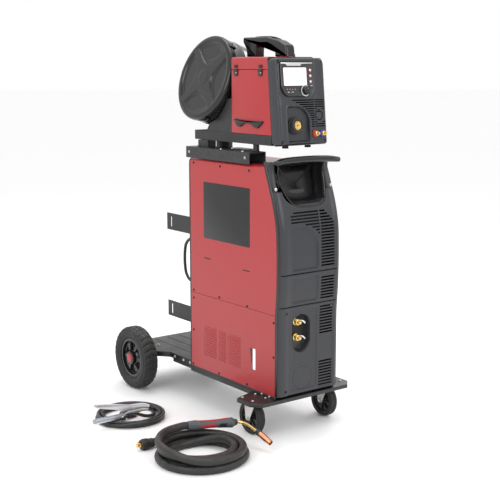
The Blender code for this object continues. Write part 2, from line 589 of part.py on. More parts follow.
def build_feeder_front():
    """The leaning front block with its screen, knob, buttons and couplings."""
    near = FASCIA_DEPTH
    shape = rounded([(-0.109, BASE_Z + 0.002), (0.1095, BASE_Z + 0.002), (0.1125, 1.20, 0.08), (0.1065, 1.363, 0.022),
                     (-0.109, 1.363)], 0.008, 4)
    block = plate("feeder_fascia", "Y", shape, near, near + FASCIA_THICK, "grey_plastic")
    arch = rounded([(-0.070, 1.066, 0.006), (0.032, 1.066, 0.006), (0.032, 1.193, 0.06), (-0.070, 1.193, 0.012)],
                   0.01, 5)
    lean_back(block)
    cut(block, lean_back(plate("socket_recess", "Y", arch, near - 0.02, near + 0.014, None)))

    screen = rounded([(-0.095, 1.346, 0.004), (-0.088, 1.258, 0.02), (-0.060, 1.226, 0.03), (0.036, 1.226, 0.03),
                      (0.048, 1.262, 0.02), (0.052, 1.346, 0.004)], 0.01, 3)
    lean_back(plate("feeder_display", "Y", screen, near - 0.0023, near - GAP, "glass"))
    front = near - 0.0023 - GAP
    knob = [(0.0, 0.016), (0.014, 0.016), (0.0155, 0.013), (0.0155, 0.004), (0.019, 0.0035), (0.019, 0.0), (0.0, 0.0)]
    lean_back(turned("encoder_knob", knob, (0.014, front, 1.247), (0, -1, 0), "black_plastic", 24))
    for number, z in enumerate((1.318, 1.298, 1.278)):
        cap = [(0.0, 0.0035), (0.0045, 0.0035), (0.0055, 0.002), (0.0055, 0.0), (0.0, 0.0)]
        lean_back(turned(f"button_{number + 1}", cap, (0.038, front - 0.001, z), (0, -1, 0), "zinc", 14))

    floor = near + 0.014 - GAP
    socket = [(0.0, 0.004), (0.009, 0.004), (0.009, 0.024), (0.018, 0.024), (0.018, 0.009), (0.026, 0.008),
              (0.031, 0.004), (0.031, 0.0), (0.0, 0.0)]
    lean_back(turned("euro_socket", socket, (-0.031, floor, 1.125), (0, -1, 0), "black_plastic", 28))
    for word, x in (("red", 0.050), ("blue", 0.083)):
        nose = [(0.0, 0.026), (0.0045, 0.026), (0.0055, 0.016), (0.008, 0.015), (0.008, 0.006), (0.0105, 0.005),
                (0.0105, 0.0), (0.0, 0.0)]
        lean_back(turned(f"coupling_{word}", nose, (x, near - GAP, 1.094), (0, -1, 0), "brass", 16))


def build_drive_rolls():
    """The driven roll and the roll that presses the wire on it."""
    for word, z in (("drive", 1.160), ("pressure", 1.193)):
        wheel = [(0.0054, 0.006), (0.0160, 0.006), (0.0160, -0.006), (0.0054, -0.006)]
        turned(f"{word}_roll", wheel, (-0.0195, 0.195, z), (1, 0, 0), "steel", 20, ring=True)


def ring_section(centre_r, wide, tall):
    """The outer shape of a coil: a rounded box section, as a closed profile on the floor."""
    inner, outer = centre_r - wide / 2, centre_r + wide / 2
    edge = min(wide, tall) * 0.25
    return [(inner + edge, tall), (outer - edge, tall), (outer, tall - edge), (outer, edge), (outer - edge, 0.0),
            (inner + edge, 0.0), (inner, edge), (inner, tall - edge)]


def build_torch():
    """The torch lying on its coiled hose, with its plug."""
    centre_r = 0.1305
    lift = GAP
    turned("hose_coil", ring_section(centre_r, 2 * HOSE_D + 0.002, 2 * HOSE_D - 0.003), (*HOSE_COIL, lift), (0, 0, 1),
           "rubber", 40, ring=True)
    rear, front = Vector((-0.412, 0.106, 0.0765)), Vector((-0.286, 0.049, 0.0765))
    along = (front - rear).normalized()
    handle = rod("torch_handle", rear, front, 0.0175, "black_plastic", 14, 0.0205)
    join(handle, rod("handle_tail", rear - along * 0.030, rear + along * 0.002, 0.0150, None, 14, 0.0170))
    slot_at = rear.lerp(front, 0.70)
    side = Vector((along.y, -along.x, 0.0))
    slot = [slot_at + side * 0.0200 + along * reach for reach in (-0.015, 0.015)]
    cut(handle, slab("trigger_slot", *slot, side, 0.0150, 0.0060, None))
    blade = [slot_at + side * 0.0170 + along * reach for reach in (-0.014, 0.014)]
    slab("torch_trigger", *blade, side, 0.0080, 0.0050, "black_plastic")
    nozzle_start, nozzle_end = Vector((-0.254, -0.050, 0.060)), Vector((-0.246, -0.112, 0.036))
    neck = tube("torch_neck", [front + along * 0.001, front + along * 0.014, (-0.262, 0.028, 0.0750),
                               (-0.256, 0.002, 0.0715), nozzle_start + Vector((0.0, 0.004, 0.001)),
                               nozzle_start.lerp(nozzle_end, 0.15)], 0.006, "brass", 0.014)
    join(neck, rod("nozzle", nozzle_start, nozzle_end, 0.0115, None, 16, 0.0095))
    plug_tip, plug_back = Vector((-0.612, 0.184, 0.0200)), Vector((-0.545, 0.181, 0.0200))
    plug = rod("torch_plug", plug_tip + Vector((0.018, 0, 0)), plug_back, 0.0190, "black_plastic", 16, 0.0165)
    join(plug, rod("plug_pin", plug_tip, plug_tip + Vector((0.022, 0, 0)), 0.0085, None, 14))
    tube("hose_tail", [(-0.5443, 0.1810, 0.0200), (-0.5300, 0.1803, 0.0200), (-0.5030, 0.1622, 0.0146)], HOSE_D / 2,
         "rubber", 0.016)


def slab(name, start, stop, across, thick, wide, look):
    """A block along a line of (x, depth, z) points: thick along one direction, and wide upwards."""
    start, stop = place(*start), place(*stop)
    along = (stop - start).normalized()
    across = Vector(across).normalized()
    up = along.cross(across)
    bm = bmesh.new()
    bmesh.ops.create_cube(bm, size=1.0)
    for vertex in bm.verts:
        spot = along * vertex.co.x * (stop - start).length + across * vertex.co.y * thick * 2
        vertex.co = (start + stop) / 2 + spot + up * vertex.co.z * wide * 2
    return mesh_from(name, bm, look)


def build_earth_lead():
    """The earth clamp standing on its coiled lead, with the plug inside the coil."""
    turned("lead_coil", ring_section(0.120, 2 * LEAD_D + 0.002, 2 * LEAD_D), (*LEAD_COIL, GAP), (0, 0, 1), "rubber",
           36, ring=True)
    depth, thick = 0.452, 0.009
    lower = [(-0.632, 0.030), (-0.625, 0.0285), (-0.545, 0.0300), (-0.500, 0.0440), (-0.470, 0.0440), (-0.405, 0.0400),
             (-0.400, 0.0480), (-0.424, 0.0545), (-0.470, 0.0540), (-0.492, 0.0540), (-0.515, 0.0450), (-0.545, 0.0450),
             (-0.632, 0.0470)]
    plate("clamp_lower", "Y", lower, depth - thick, depth + thick, "zinc")
    upper = [(-0.505, 0.0552), (-0.424, 0.0557), (-0.400, 0.0492), (-0.396, 0.0580), (-0.424, 0.0690), (-0.480, 0.0740),
             (-0.540, 0.0880), (-0.626, 0.1040), (-0.634, 0.0900), (-0.550, 0.0690)]
    plate("clamp_upper", "Y", upper, depth - thick, depth + thick, "zinc")
    tube("lead_tail", [(-0.5000, 0.4685, 0.0400), (-0.4780, 0.4685, 0.0392), (-0.4470, 0.4655, 0.0300),
                       (-0.4120, 0.4620, 0.0150), (-0.3820, 0.4650, 0.0080), (-0.3620, 0.4850, 0.0068),
                       (-0.3520, 0.5050, 0.0068)], LEAD_D / 2, "rubber", 0.020)
    plug = rod("lead_plug", (-0.4655, 0.4978, 0.0130), (-0.4143, 0.5164, 0.0130), 0.0125, "black_plastic", 14)
    join(plug, rod("lead_pin", (-0.4162, 0.5158, 0.0130), (-0.3894, 0.5255, 0.0130), 0.0070, None, 12))


clear_scene()
PARTS = new_collection("mig_welder_on_cart", False)
CUTTERS = new_collection("cutters", True)
build_trolley()
for hand, side_word in ((-1, "left"), (1, "right")):
    build_rear_wheel(hand, side_word)
    build_caster(hand, side_word)
build_cabinet()
build_fan_and_switch()
build_bottle_brackets()
build_front()
build_feeder_support()
build_drum()
build_feeder_case()
build_feeder_front()
build_drive_rolls()
build_torch()
build_earth_lead()
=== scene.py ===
"""A MIG welding set on its cart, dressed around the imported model.

Lengths are metres, +Z is up and the front faces -Y. A depth is measured backwards from the front edge of
the side panels, which stands at FRONT_Y.
"""
from __future__ import annotations

import logging
import math
from dataclasses import dataclass, field
from enum import Enum
from typing import Callable, Sequence

import bmesh
import bpy
import numpy as np
from mathutils import Matrix, Vector


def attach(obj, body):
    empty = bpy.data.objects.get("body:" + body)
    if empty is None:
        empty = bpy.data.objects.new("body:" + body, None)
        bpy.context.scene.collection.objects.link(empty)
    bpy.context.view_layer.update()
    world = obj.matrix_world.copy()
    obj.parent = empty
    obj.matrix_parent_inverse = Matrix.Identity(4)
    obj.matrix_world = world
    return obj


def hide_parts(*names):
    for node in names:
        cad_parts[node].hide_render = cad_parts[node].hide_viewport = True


LOG = logging.getLogger("welder")
FRONT_Y = -0.4715
FASCIA_LEAN = math.radians(5.5)  # how far the feeder's front leans back
FASCIA_FOOT_Z = 1.053  # the height that it leans from
MERGE_GAP = 0.000004  # points closer than this become one
CART = "cart_and_power_source"
FEEDER = "wire_feeder"
SIDES = ((-1, "left"), (1, "right"))
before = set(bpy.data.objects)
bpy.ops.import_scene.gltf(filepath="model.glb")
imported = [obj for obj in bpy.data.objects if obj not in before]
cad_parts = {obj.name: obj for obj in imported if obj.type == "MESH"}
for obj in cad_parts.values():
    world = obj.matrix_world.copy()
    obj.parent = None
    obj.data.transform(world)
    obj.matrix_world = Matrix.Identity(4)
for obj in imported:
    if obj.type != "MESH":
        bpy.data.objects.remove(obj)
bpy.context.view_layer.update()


class Plane(Enum):
    """The plane that a flat outline is drawn in."""

    SIDE = "side"  # (depth, z), with x as the thickness
    FRONT = "front"  # (x, z), with depth as the thickness
    TOP = "top"  # (x, depth), with z as the thickness


class Ends(Enum):
    """How a tube is closed."""

    FLAT = "flat"
    ROUND = "round"


# ---------------------------------------------------------------- shapes


def spot(x: float, depth: float, z: float) -> np.ndarray:
    """A point given by its depth behind the front edge."""
    return np.array((x, FRONT_Y + depth, z))


def spots(points: Sequence[Sequence[float]]) -> np.ndarray:
    """Many (x, depth, z) points as one array in the frame's axes."""
    return np.asarray(points, float) + np.array((0.0, FRONT_Y, 0.0))


def stand(flat: np.ndarray, across: np.ndarray | float, plane: Plane) -> np.ndarray:
    """Stands flat points up in the frame.

    Args:
        flat: Points (..., 2) in the plane.
        across: The third coordinate, as one value or one for each point.
        plane: The plane that they are drawn in.

    Returns:
        Points (..., 3) in the frame's axes.
    """
    first, second = flat[..., 0], flat[..., 1]
    third = np.broadcast_to(np.asarray(across, float), first.shape)
    if plane is Plane.SIDE:
        return np.stack([third, first + FRONT_Y, second], -1)
    if plane is Plane.FRONT:
        return np.stack([first, third + FRONT_Y, second], -1)
    return np.stack([first, second + FRONT_Y, third], -1)


@dataclass
class Form:
    """Points and faces of a shape, held as whole arrays."""

    points: np.ndarray
    faces: list[np.ndarray]

    def mapped(self, matrix: Matrix) -> "Form":
        """The shape moved and turned by a 4 by 4 matrix."""
        table = np.array(matrix)
        return Form(self.points @ table[:3, :3].T + table[:3, 3], self.faces)

    def moved(self, x: float = 0.0, y: float = 0.0, z: float = 0.0) -> "Form":
        """The shape moved along the axes."""
        return Form(self.points + np.array((x, y, z)), self.faces)

    def copies(self, matrices: Sequence[Matrix]) -> "Form":
        """One copy of the shape at each matrix: every point is multiplied by every matrix at once."""
        tables = np.array([np.array(matrix) for matrix in matrices])
        points = np.einsum("mij,nj->mni", tables[:, :3, :3], self.points) + tables[:, None, :3, 3]
        shift = np.arange(len(tables))[:, None, None] * len(self.points)
        faces = [(face[None] + shift).reshape(-1, face.shape[1]) for face in self.faces]
        return Form(points.reshape(-1, 3), faces)

    def build(self, name: str, finish: "Finish", body: str, replaces: Sequence[str] = (), slot: str = "",
              angle: float = 32.0, bevel: float = 0.0, thick: float = 0.0) -> bpy.types.Object:
        """Turns the shape into a dressed piece of the model.

        Args:
            name: The piece's name.
            finish: The finish that it wears.
            body: The body that it rides on.
            replaces: The nodes that it stands for.
            slot: The record's material slot; not used.
            angle: The angle, in degrees, past which an edge looks sharp.
            bevel: The width of a bevel on its sharp edges.
            thick: The wall that an open skin gets, on its inner side.

        Returns:
            The new object.
        """
        mesh = bpy.data.meshes.new(name)
        mesh.from_pydata(self.points.tolist(), [], [row for face in self.faces for row in face.tolist()])
        tidy = bmesh.new()
        tidy.from_mesh(mesh)
        bmesh.ops.remove_doubles(tidy, verts=tidy.verts, dist=MERGE_GAP)
        bmesh.ops.recalc_face_normals(tidy, faces=tidy.faces)
        tidy.to_mesh(mesh)
        tidy.free()
        mesh.shade_smooth()
        mesh.set_sharp_from_angle(angle=math.radians(angle))
        piece = bpy.data.objects.new(name, mesh)
        bpy.context.scene.collection.objects.link(piece)
        mesh.materials.append(finish.material())
        if thick:
            wall = piece.modifiers.new("wall", "SOLIDIFY")
            wall.thickness = thick
            wall.offset = -1.0
        if bevel:
            edges = piece.modifiers.new("edges", "BEVEL")
            edges.width = bevel
            edges.segments = 2
            edges.limit_method = "ANGLE"
            edges.angle_limit = math.radians(angle)
            edges.harden_normals = True
            edges.use_clamp_overlap = True
        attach(piece, body)
        if replaces:
            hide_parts(*replaces)
        slot or finish.slot
        LOG.info("%s: %d points on %s", name, len(mesh.vertices), body)
        return piece


def join(forms: Sequence[Form]) -> Form:
    """Several shapes as one, with their face numbers moved along."""
    starts = np.cumsum([0] + [len(form.points) for form in forms[:-1]])
    faces = [face + start for form, start in zip(forms, starts) for face in form.faces]
    return Form(np.concatenate([form.points for form in forms]), faces)


def loft(rings: np.ndarray, caps: bool = True, loop: bool = False) -> Form:
    """A skin over closed rings: point (i, j) is joined to its neighbours along and round the rings.

    Args:
        rings: Points (rings, sides, 3).
        caps: Whether the first and last rings get a flat face.
        loop: Whether the last ring joins the first.

    Returns:
        The shape.
    """
    count, sides = rings.shape[:2]
    index = np.arange(count * sides).reshape(count, sides)
    near = index if loop else index[:-1]
    far = np.roll(index, -1, 0) if loop else index[1:]
    quads = np.stack([near, np.roll(near, -1, 1), np.roll(far, -1, 1), far], -1).reshape(-1, 4)
    faces = [quads]
    if caps and not loop:
        faces += [index[:1, ::-1], index[-1:]]
    return Form(rings.reshape(-1, 3), faces)


def skin(points: np.ndarray) -> Form:
    """An open skin over a grid of points (rows, columns, 3)."""
    rows, columns = points.shape[:2]
    index = np.arange(rows * columns).reshape(rows, columns)
    quads = np.stack([index[:-1, :-1], index[:-1, 1:], index[1:, 1:], index[1:, :-1]], -1)
    return Form(points.reshape(-1, 3), [quads.reshape(-1, 4)])


def axis_turn(axis: Sequence[float]) -> Matrix:
    """The turn that takes +Z to an axis."""
    return Vector(axis).to_track_quat("Z", "Y").to_matrix().to_4x4()


def lathe(profile: Sequence[Sequence[float]], centre: Sequence[float], axis: Sequence[float] = (0, 0, 1),
          sides: int = 48) -> Form:
    """A profile turned about an axis: radius r and height h give (r cos a, r sin a, h) for each angle a.

    Args:
        profile: (radius, height) points. A profile that starts and ends off the axis is closed on itself.
        centre: The axis's foot, in the frame.
        axis: The axis's direction.
        sides: The number of steps round.

    Returns:
        The shape.
    """
    line = np.asarray(profile, float)
    turns = np.linspace(0, 2 * np.pi, sides, endpoint=False)
    rings = np.stack([line[:, :1] * np.cos(turns), line[:, :1] * np.sin(turns),
                      np.repeat(line[:, 1:2], sides, 1)], -1)
    hollow = line[0, 0] > 1e-6 and line[-1, 0] > 1e-6
    return loft(rings, caps=False, loop=hollow).mapped(Matrix.Translation(Vector(centre)) @ axis_turn(axis))


def resample(points: np.ndarray, spacing: float) -> np.ndarray:
    """Evenly spaced points along a smooth curve (Catmull-Rom) through given points."""
    ends = np.vstack([2 * points[0] - points[1], points, 2 * points[-1] - points[-2]])
    t = np.linspace(0, 1, 24, endpoint=False)[:, None]
    pieces = [0.5 * (2 * b + (c - a) * t + (2 * a - 5 * b + 4 * c - d) * t**2
                     + (3 * b - a - 3 * c + d) * t**3)
              for a, b, c, d in zip(ends, ends[1:], ends[2:], ends[3:])]
    dense = np.vstack([*pieces, points[-1:]])
    along = np.concatenate([[0], np.cumsum(np.linalg.norm(np.diff(dense, axis=0), axis=1))])
    steps = np.linspace(0, along[-1], max(2, round(along[-1] / spacing)) + 1)
    return np.stack([np.interp(steps, along, dense[:, k]) for k in range(3)], -1)


def unit(vectors: np.ndarray) -> np.ndarray:
    """Vectors scaled to a length of one."""
    return vectors / np.maximum(np.linalg.norm(vectors, axis=-1, keepdims=True), 1e-12)


def tube(path: np.ndarray, radius: float | np.ndarray, up: Sequence[float] = (0, 0, 1), sides: int = 20,
         ends: Ends = Ends.FLAT, wide: float = 1.0) -> Form:
    """A round profile carried along a path.

    At each point the ring stands square to the path: its first axis is the tangent crossed with up, and its
    second is the tangent crossed with the first.

    Args:
        path: Points (n, 3).
        radius: One radius, or one for each point.
        up: A direction that the path never runs along.
        sides: The number of points round.
        ends: How the tube is closed.
        wide: How much wider the ring is along its first axis.

    Returns:
        The shape.
    """
    radii = np.broadcast_to(np.asarray(radius, float), (len(path),)).copy()
    tangent = unit(np.gradient(path, axis=0))
    if ends is Ends.ROUND:
        bulge = np.array([0.995, 0.92, 0.70, 0.38])
        ball = np.sqrt(1 - bulge**2)[:, None]
        head = path[0] - tangent[0] * radii[0] * bulge[:, None] * 0.6
        tail = path[-1] + tangent[-1] * radii[-1] * bulge[::-1, None] * 0.6
        path = np.vstack([head, path, tail])
        tangent = np.vstack([np.repeat(tangent[:1], 4, 0), tangent, np.repeat(tangent[-1:], 4, 0)])
        radii = np.concatenate([radii[0] * ball[:, 0], radii, radii[-1] * ball[::-1, 0]])
    first = unit(np.cross(tangent, np.asarray(up, float)))
    second = np.cross(tangent, first)
    turns = np.linspace(0, 2 * np.pi, sides, endpoint=False)
    spokes = first[:, None] * np.cos(turns)[:, None] * wide + second[:, None] * np.sin(turns)[:, None]
    return loft(path[:, None] + spokes * radii[:, None, None])


def rounded(corners: Sequence[Sequence[float]], radius: float, steps: int = 5) -> np.ndarray:
    """A polygon with each corner turned into an arc, of a common radius or of its own third value."""
    outline = []
    for index, corner in enumerate(corners):
        here = np.array(corner[:2], float)
        reach = corner[2] if len(corner) > 2 else radius
        if reach <= 0:
            outline.append(here[None])
            continue
        before = unit(np.array(corners[index - 1][:2]) - here)
        after = unit(np.array(corners[(index + 1) % len(corners)][:2]) - here)
        half = math.acos(float(np.clip(before @ after, -1, 1))) / 2
        start, stop = here + before * reach / math.tan(half), here + after * reach / math.tan(half)
        centre = here + unit(before + after) * reach / math.sin(half)
        t = np.linspace(0, 1, steps + 1)[:, None]
        outline.append(centre + unit((start - centre) * (1 - t) + (stop - centre) * t) * reach)
    return np.concatenate(outline)


def oblong(low: Sequence[float], high: Sequence[float], radius: float, steps: int = 5) -> np.ndarray:
    """A rectangle between two corners, with its own corners rounded."""
    return rounded([low, (high[0], low[1]), high, (low[0], high[1])], radius, steps)


def inset(outline: np.ndarray, amount: float) -> np.ndarray:
    """A closed outline moved inwards along its corners' bisectors, whichever way it runs."""
    before = unit(outline - np.roll(outline, 1, 0))
    after = unit(np.roll(outline, -1, 0) - outline)
    area = np.sum(outline[:, 0] * np.roll(outline[:, 1], -1) - outline[:, 1] * np.roll(outline[:, 0], -1))
    side = np.sign(area)
    normals = np.stack([-before[:, 1], before[:, 0]], -1) * side, np.stack([-after[:, 1], after[:, 0]],
        -1) * side
    middle = unit(normals[0] + normals[1])
    return outline + middle * amount / np.maximum(np.sum(middle * normals[0], -1, keepdims=True), 0.35)


def slab(outline: Sequence[Sequence[float]] | np.ndarray, low: float, high: float, plane: Plane,
         edge: float = 0.0, both: bool = False) -> Form:
    """A flat outline with a thickness and rounded rims.

    The rim is a quarter circle: at angle a the outline is moved in by edge (1 - cos a) and stands at
    high - edge (1 - sin a).

    Args:
        outline: The closed outline in the plane.
        low: Where the thickness starts.
        high: Where it ends, on the side whose rim is rounded; it may be less than low.
        plane: The outline's plane.
        edge: The rim's radius.
        both: Whether the rim at low is rounded too.

    Returns:
        The shape.
    """
    ring = np.asarray(outline, float)
    way = 1.0 if high > low else -1.0
    layers = [(0.0, low)]
    if edge:
        turns = np.linspace(0, np.pi / 2, 4)
        layers = [(edge * (1 - math.cos(a)), high - way * edge * (1 - math.sin(a))) for a in turns]
        if both:
            layers = [(move, low + high - across) for move, across in reversed(layers)] + layers
        else:
            layers = [(0.0, low)] + layers
    else:
        layers.append((0.0, high))
    rings = np.stack([stand(inset(ring, move), across, plane) for move, across in layers])
    return loft(rings)


def block(low: Sequence[float], high: Sequence[float], edge: float = 0.0) -> Form:
    """A block between two (x, depth, z) corners, with its upper and lower rims rounded."""
    ring = oblong((low[0], low[1]), (high[0], high[1]), edge, 3)
    return slab(ring, low[2], high[2], Plane.TOP, edge, both=True)


def disc(radius: float, sides: int = 32, centre: Sequence[float] = (0.0, 0.0)) -> np.ndarray:
    """The points of a circle."""
    turns = np.linspace(0, 2 * np.pi, sides, endpoint=False)
    return np.stack([centre[0] + radius * np.cos(turns), centre[1] + radius * np.sin(turns)], -1)


def pierced(columns: np.ndarray, rows: np.ndarray, kept: np.ndarray, place: Callable[..., np.ndarray],
            thick: float) -> Form:
    """A sheet on a grid with some of its cells left out, closed all round.

    A grid point at column u and row v stands at place(u, v, w), where w is 0 on the outer face and the
    thickness on the inner one. A wall closes each edge between a kept cell and an empty one.

    Args:
        columns: The grid's u values.
        rows: The grid's v values.
        kept: Booleans (rows - 1, columns - 1), true where there is metal.
        place: The function that stands the grid in the frame.
        thick: The sheet's thickness.

    Returns:
        The shape.
    """
    u, v = np.meshgrid(columns, rows)
    outer, inner = place(u, v, 0.0), place(u, v, thick)
    index = np.arange(u.size).reshape(u.shape)
    cells = np.stack([index[:-1, :-1], index[:-1, 1:], index[1:, 1:], index[1:, :-1]], -1)
    front, back = cells[kept], cells[kept][:, ::-1] + u.size
    ring = np.pad(kept, 1)
    walls = []
    shifts = ((0, 1, 1, 0), (1, 2, 0, 1), (2, 3, 1, 2), (3, 0, 2, 3))
    neighbours = (ring[:-2, 1:-1], ring[1:-1, 2:], ring[2:, 1:-1], ring[1:-1, :-2])
    for (start, stop, _, _), beside in zip(shifts, neighbours):
        bare = kept & ~beside
        one, two = cells[bare][:, start], cells[bare][:, stop]
        walls.append(np.stack([two, one, one + u.size, two + u.size], -1))
    return Form(np.concatenate([outer.reshape(-1, 3), inner.reshape(-1, 3)]), [front, back,
        np.concatenate(walls)])


def smoothstep(value: np.ndarray, low: float, high: float) -> np.ndarray:
    """0 below low, 1 above high, and an S-curve between them."""
    t = np.clip((value - low) / (high - low), 0, 1)
    return t * t * (3 - 2 * t)


def screw_head(radius: float, high: float, socket: float = 0.45) -> Form:
    """A domed screw head that looks along +Z, whose rings close to a six-sided socket inside."""
    turns = np.linspace(0, 2 * np.pi, 24, endpoint=False)
    hexagon = np.cos(np.pi / 6) / np.cos(np.mod(turns, np.pi / 3) - np.pi / 6)
    rows = [(radius, 0.0, 0), (radius, high * 0.35, 0), (radius * 0.86, high * 0.85, 0),
            (radius * 0.62, high, 0), (radius * socket, high, 1), (radius * socket, high * 0.3, 1)]
    rings = [np.stack([np.cos(turns) * r * (hexagon if six else 1),
                       np.sin(turns) * r * (hexagon if six else 1),
                       np.full(24, h)], -1) for r, h, six in rows]
    return loft(np.stack(rings))


def aimed(points: Sequence[Sequence[float]], axis: Sequence[float]) -> list[Matrix]:
    """Matrices that put a shape at (x, depth, z) points, looking along an axis."""
    return [Matrix.Translation(Vector(spot(*point))) @ axis_turn(axis) for point in points]


# ---------------------------------------------------------------- finishes


def new_group(name: str, inputs: dict[str, float], outputs: Sequence[str]) -> bpy.types.NodeTree:
    """An empty node group with float inputs and outputs."""
    group = bpy.data.node_groups.new(name, "ShaderNodeTree")
    for label, value in inputs.items():
        made = group.interface.new_socket(name=label, in_out="INPUT", socket_type="NodeSocketFloat")
        made.default_value = value
    for label in outputs:
        group.interface.new_socket(name=label, in_out="OUTPUT", socket_type="NodeSocketFloat")
    return group


def wire(tree: bpy.types.NodeTree, kind: str, links: dict[str | int, object] | None = None,
         **settings: object) -> bpy.types.Node:
    """Adds a node, gives its settings, and links or sets its inputs.

    Args:
        tree: The tree that gets it.
        kind: The node's type, without its ShaderNode prefix.
        links: For each input, a socket to link or a value to set.
        **settings: The node's own properties.

    Returns:
        The node.
    """
    node = tree.nodes.new("ShaderNode" + kind)
    for key, value in settings.items():
        setattr(node, key, value)
    for key, value in (links or {}).items():
        if isinstance(value, bpy.types.NodeSocket):
            tree.links.new(value, node.inputs[key])
        else:
            node.inputs[key].default_value = value
    return node


def grain_group() -> bpy.types.NodeTree:
    """Fine grain, slow mottling and scratches, from noise on Object coordinates."""
    if "surface_grain" in bpy.data.node_groups:
        return bpy.data.node_groups["surface_grain"]
    tree = new_group("surface_grain", {"Scale": 900.0, "Mottle Scale": 9.0, "Stretch": 1.0},
                     ("Height", "Mottle", "Scratch"))
    into, out = tree.nodes.new("NodeGroupInput"), tree.nodes.new("NodeGroupOutput")
    where = wire(tree, "TexCoord").outputs["Object"]
    length = wire(tree, "CombineXYZ", {"X": 1.0, "Y": into.outputs["Stretch"], "Z": 1.0}).outputs[0]
    drawn = wire(tree, "VectorMath", {0: where, 1: length}, operation="MULTIPLY").outputs[0]
    fine = wire(tree, "TexNoise", {"Vector": drawn, "Scale": into.outputs["Scale"], "Detail": 2.0,
                                   "Roughness": 0.6})
    slow = wire(tree, "TexNoise", {"Vector": where, "Scale": into.outputs["Mottle Scale"], "Detail": 5.0,
                                   "Roughness": 0.62})
    thin = wire(tree, "VectorMath", {0: where, 1: (14.0, 14.0, 260.0)}, operation="MULTIPLY").outputs[0]
    lines = wire(tree, "TexNoise", {"Vector": thin, "Scale": 1.6, "Detail": 3.0, "Roughness": 0.7})
    scratch = wire(tree, "MapRange", {"Value": lines.outputs["Fac"], "From Min": 0.60, "From Max": 0.72})
    tree.links.new(fine.outputs["Fac"], out.inputs["Height"])
    tree.links.new(slow.outputs["Fac"], out.inputs["Mottle"])
    tree.links.new(scratch.outputs[0], out.inputs["Scratch"])
    return tree


def dust_group() -> bpy.types.NodeTree:
    """Workshop dust: thicker on faces that look up, broken up by noise."""
    if "workshop_dust" in bpy.data.node_groups:
        return bpy.data.node_groups["workshop_dust"]
    tree = new_group("workshop_dust", {"Amount": 0.3}, ("Dust",))
    into, out = tree.nodes.new("NodeGroupInput"), tree.nodes.new("NodeGroupOutput")
    normal = wire(tree, "NewGeometry").outputs["Normal"]
    up = wire(tree, "SeparateXYZ", {0: normal}).outputs["Z"]
    lying = wire(tree, "MapRange", {"Value": up, "From Min": 0.2, "From Max": 1.0}).outputs[0]
    where = wire(tree, "TexCoord").outputs["Object"]
    noise = wire(tree, "TexNoise", {"Vector": where, "Scale": 38.0, "Detail": 6.0, "Roughness": 0.72})
    patch = wire(tree, "MapRange", {"Value": noise.outputs["Fac"], "From Min": 0.38,
                                    "From Max": 0.68}).outputs[0]
    both = wire(tree, "Math", {0: lying, 1: patch}, operation="MULTIPLY").outputs[0]
    scaled = wire(tree, "Math", {0: both, 1: into.outputs["Amount"]}, operation="MULTIPLY").outputs[0]
    tree.links.new(scaled, out.inputs["Dust"])
    return tree


def wear_group() -> bpy.types.NodeTree:
    """Edge wear: convex edges, broken up by noise."""
    if "edge_wear" in bpy.data.node_groups:
        return bpy.data.node_groups["edge_wear"]
    tree = new_group("edge_wear", {"Amount": 0.3}, ("Wear",))
    into, out = tree.nodes.new("NodeGroupInput"), tree.nodes.new("NodeGroupOutput")
    sharp = wire(tree, "NewGeometry").outputs["Pointiness"]
    edge = wire(tree, "MapRange", {"Value": sharp, "From Min": 0.515, "From Max": 0.57}).outputs[0]
    where = wire(tree, "TexCoord").outputs["Object"]
    noise = wire(tree, "TexNoise", {"Vector": where, "Scale": 120.0, "Detail": 5.0, "Roughness": 0.7})
    broken = wire(tree, "MapRange", {"Value": noise.outputs["Fac"], "From Min": 0.42,
                                     "From Max": 0.62}).outputs[0]
    both = wire(tree, "Math", {0: edge, 1: broken}, operation="MULTIPLY").outputs[0]
    scaled = wire(tree, "Math", {0: both, 1: into.outputs["Amount"]}, operation="MULTIPLY").outputs[0]
    tree.links.new(scaled, out.inputs["Wear"])
    return tree


def place_group(tree: bpy.types.NodeTree, group: bpy.types.NodeTree, **values: float) -> bpy.types.Node:
    """Places a shared group in a material with its own values."""
    node = tree.nodes.new("ShaderNodeGroup")
    node.node_tree = group
    for label, value in values.items():
        node.inputs[label.replace("_", " ")].default_value = value
    return node


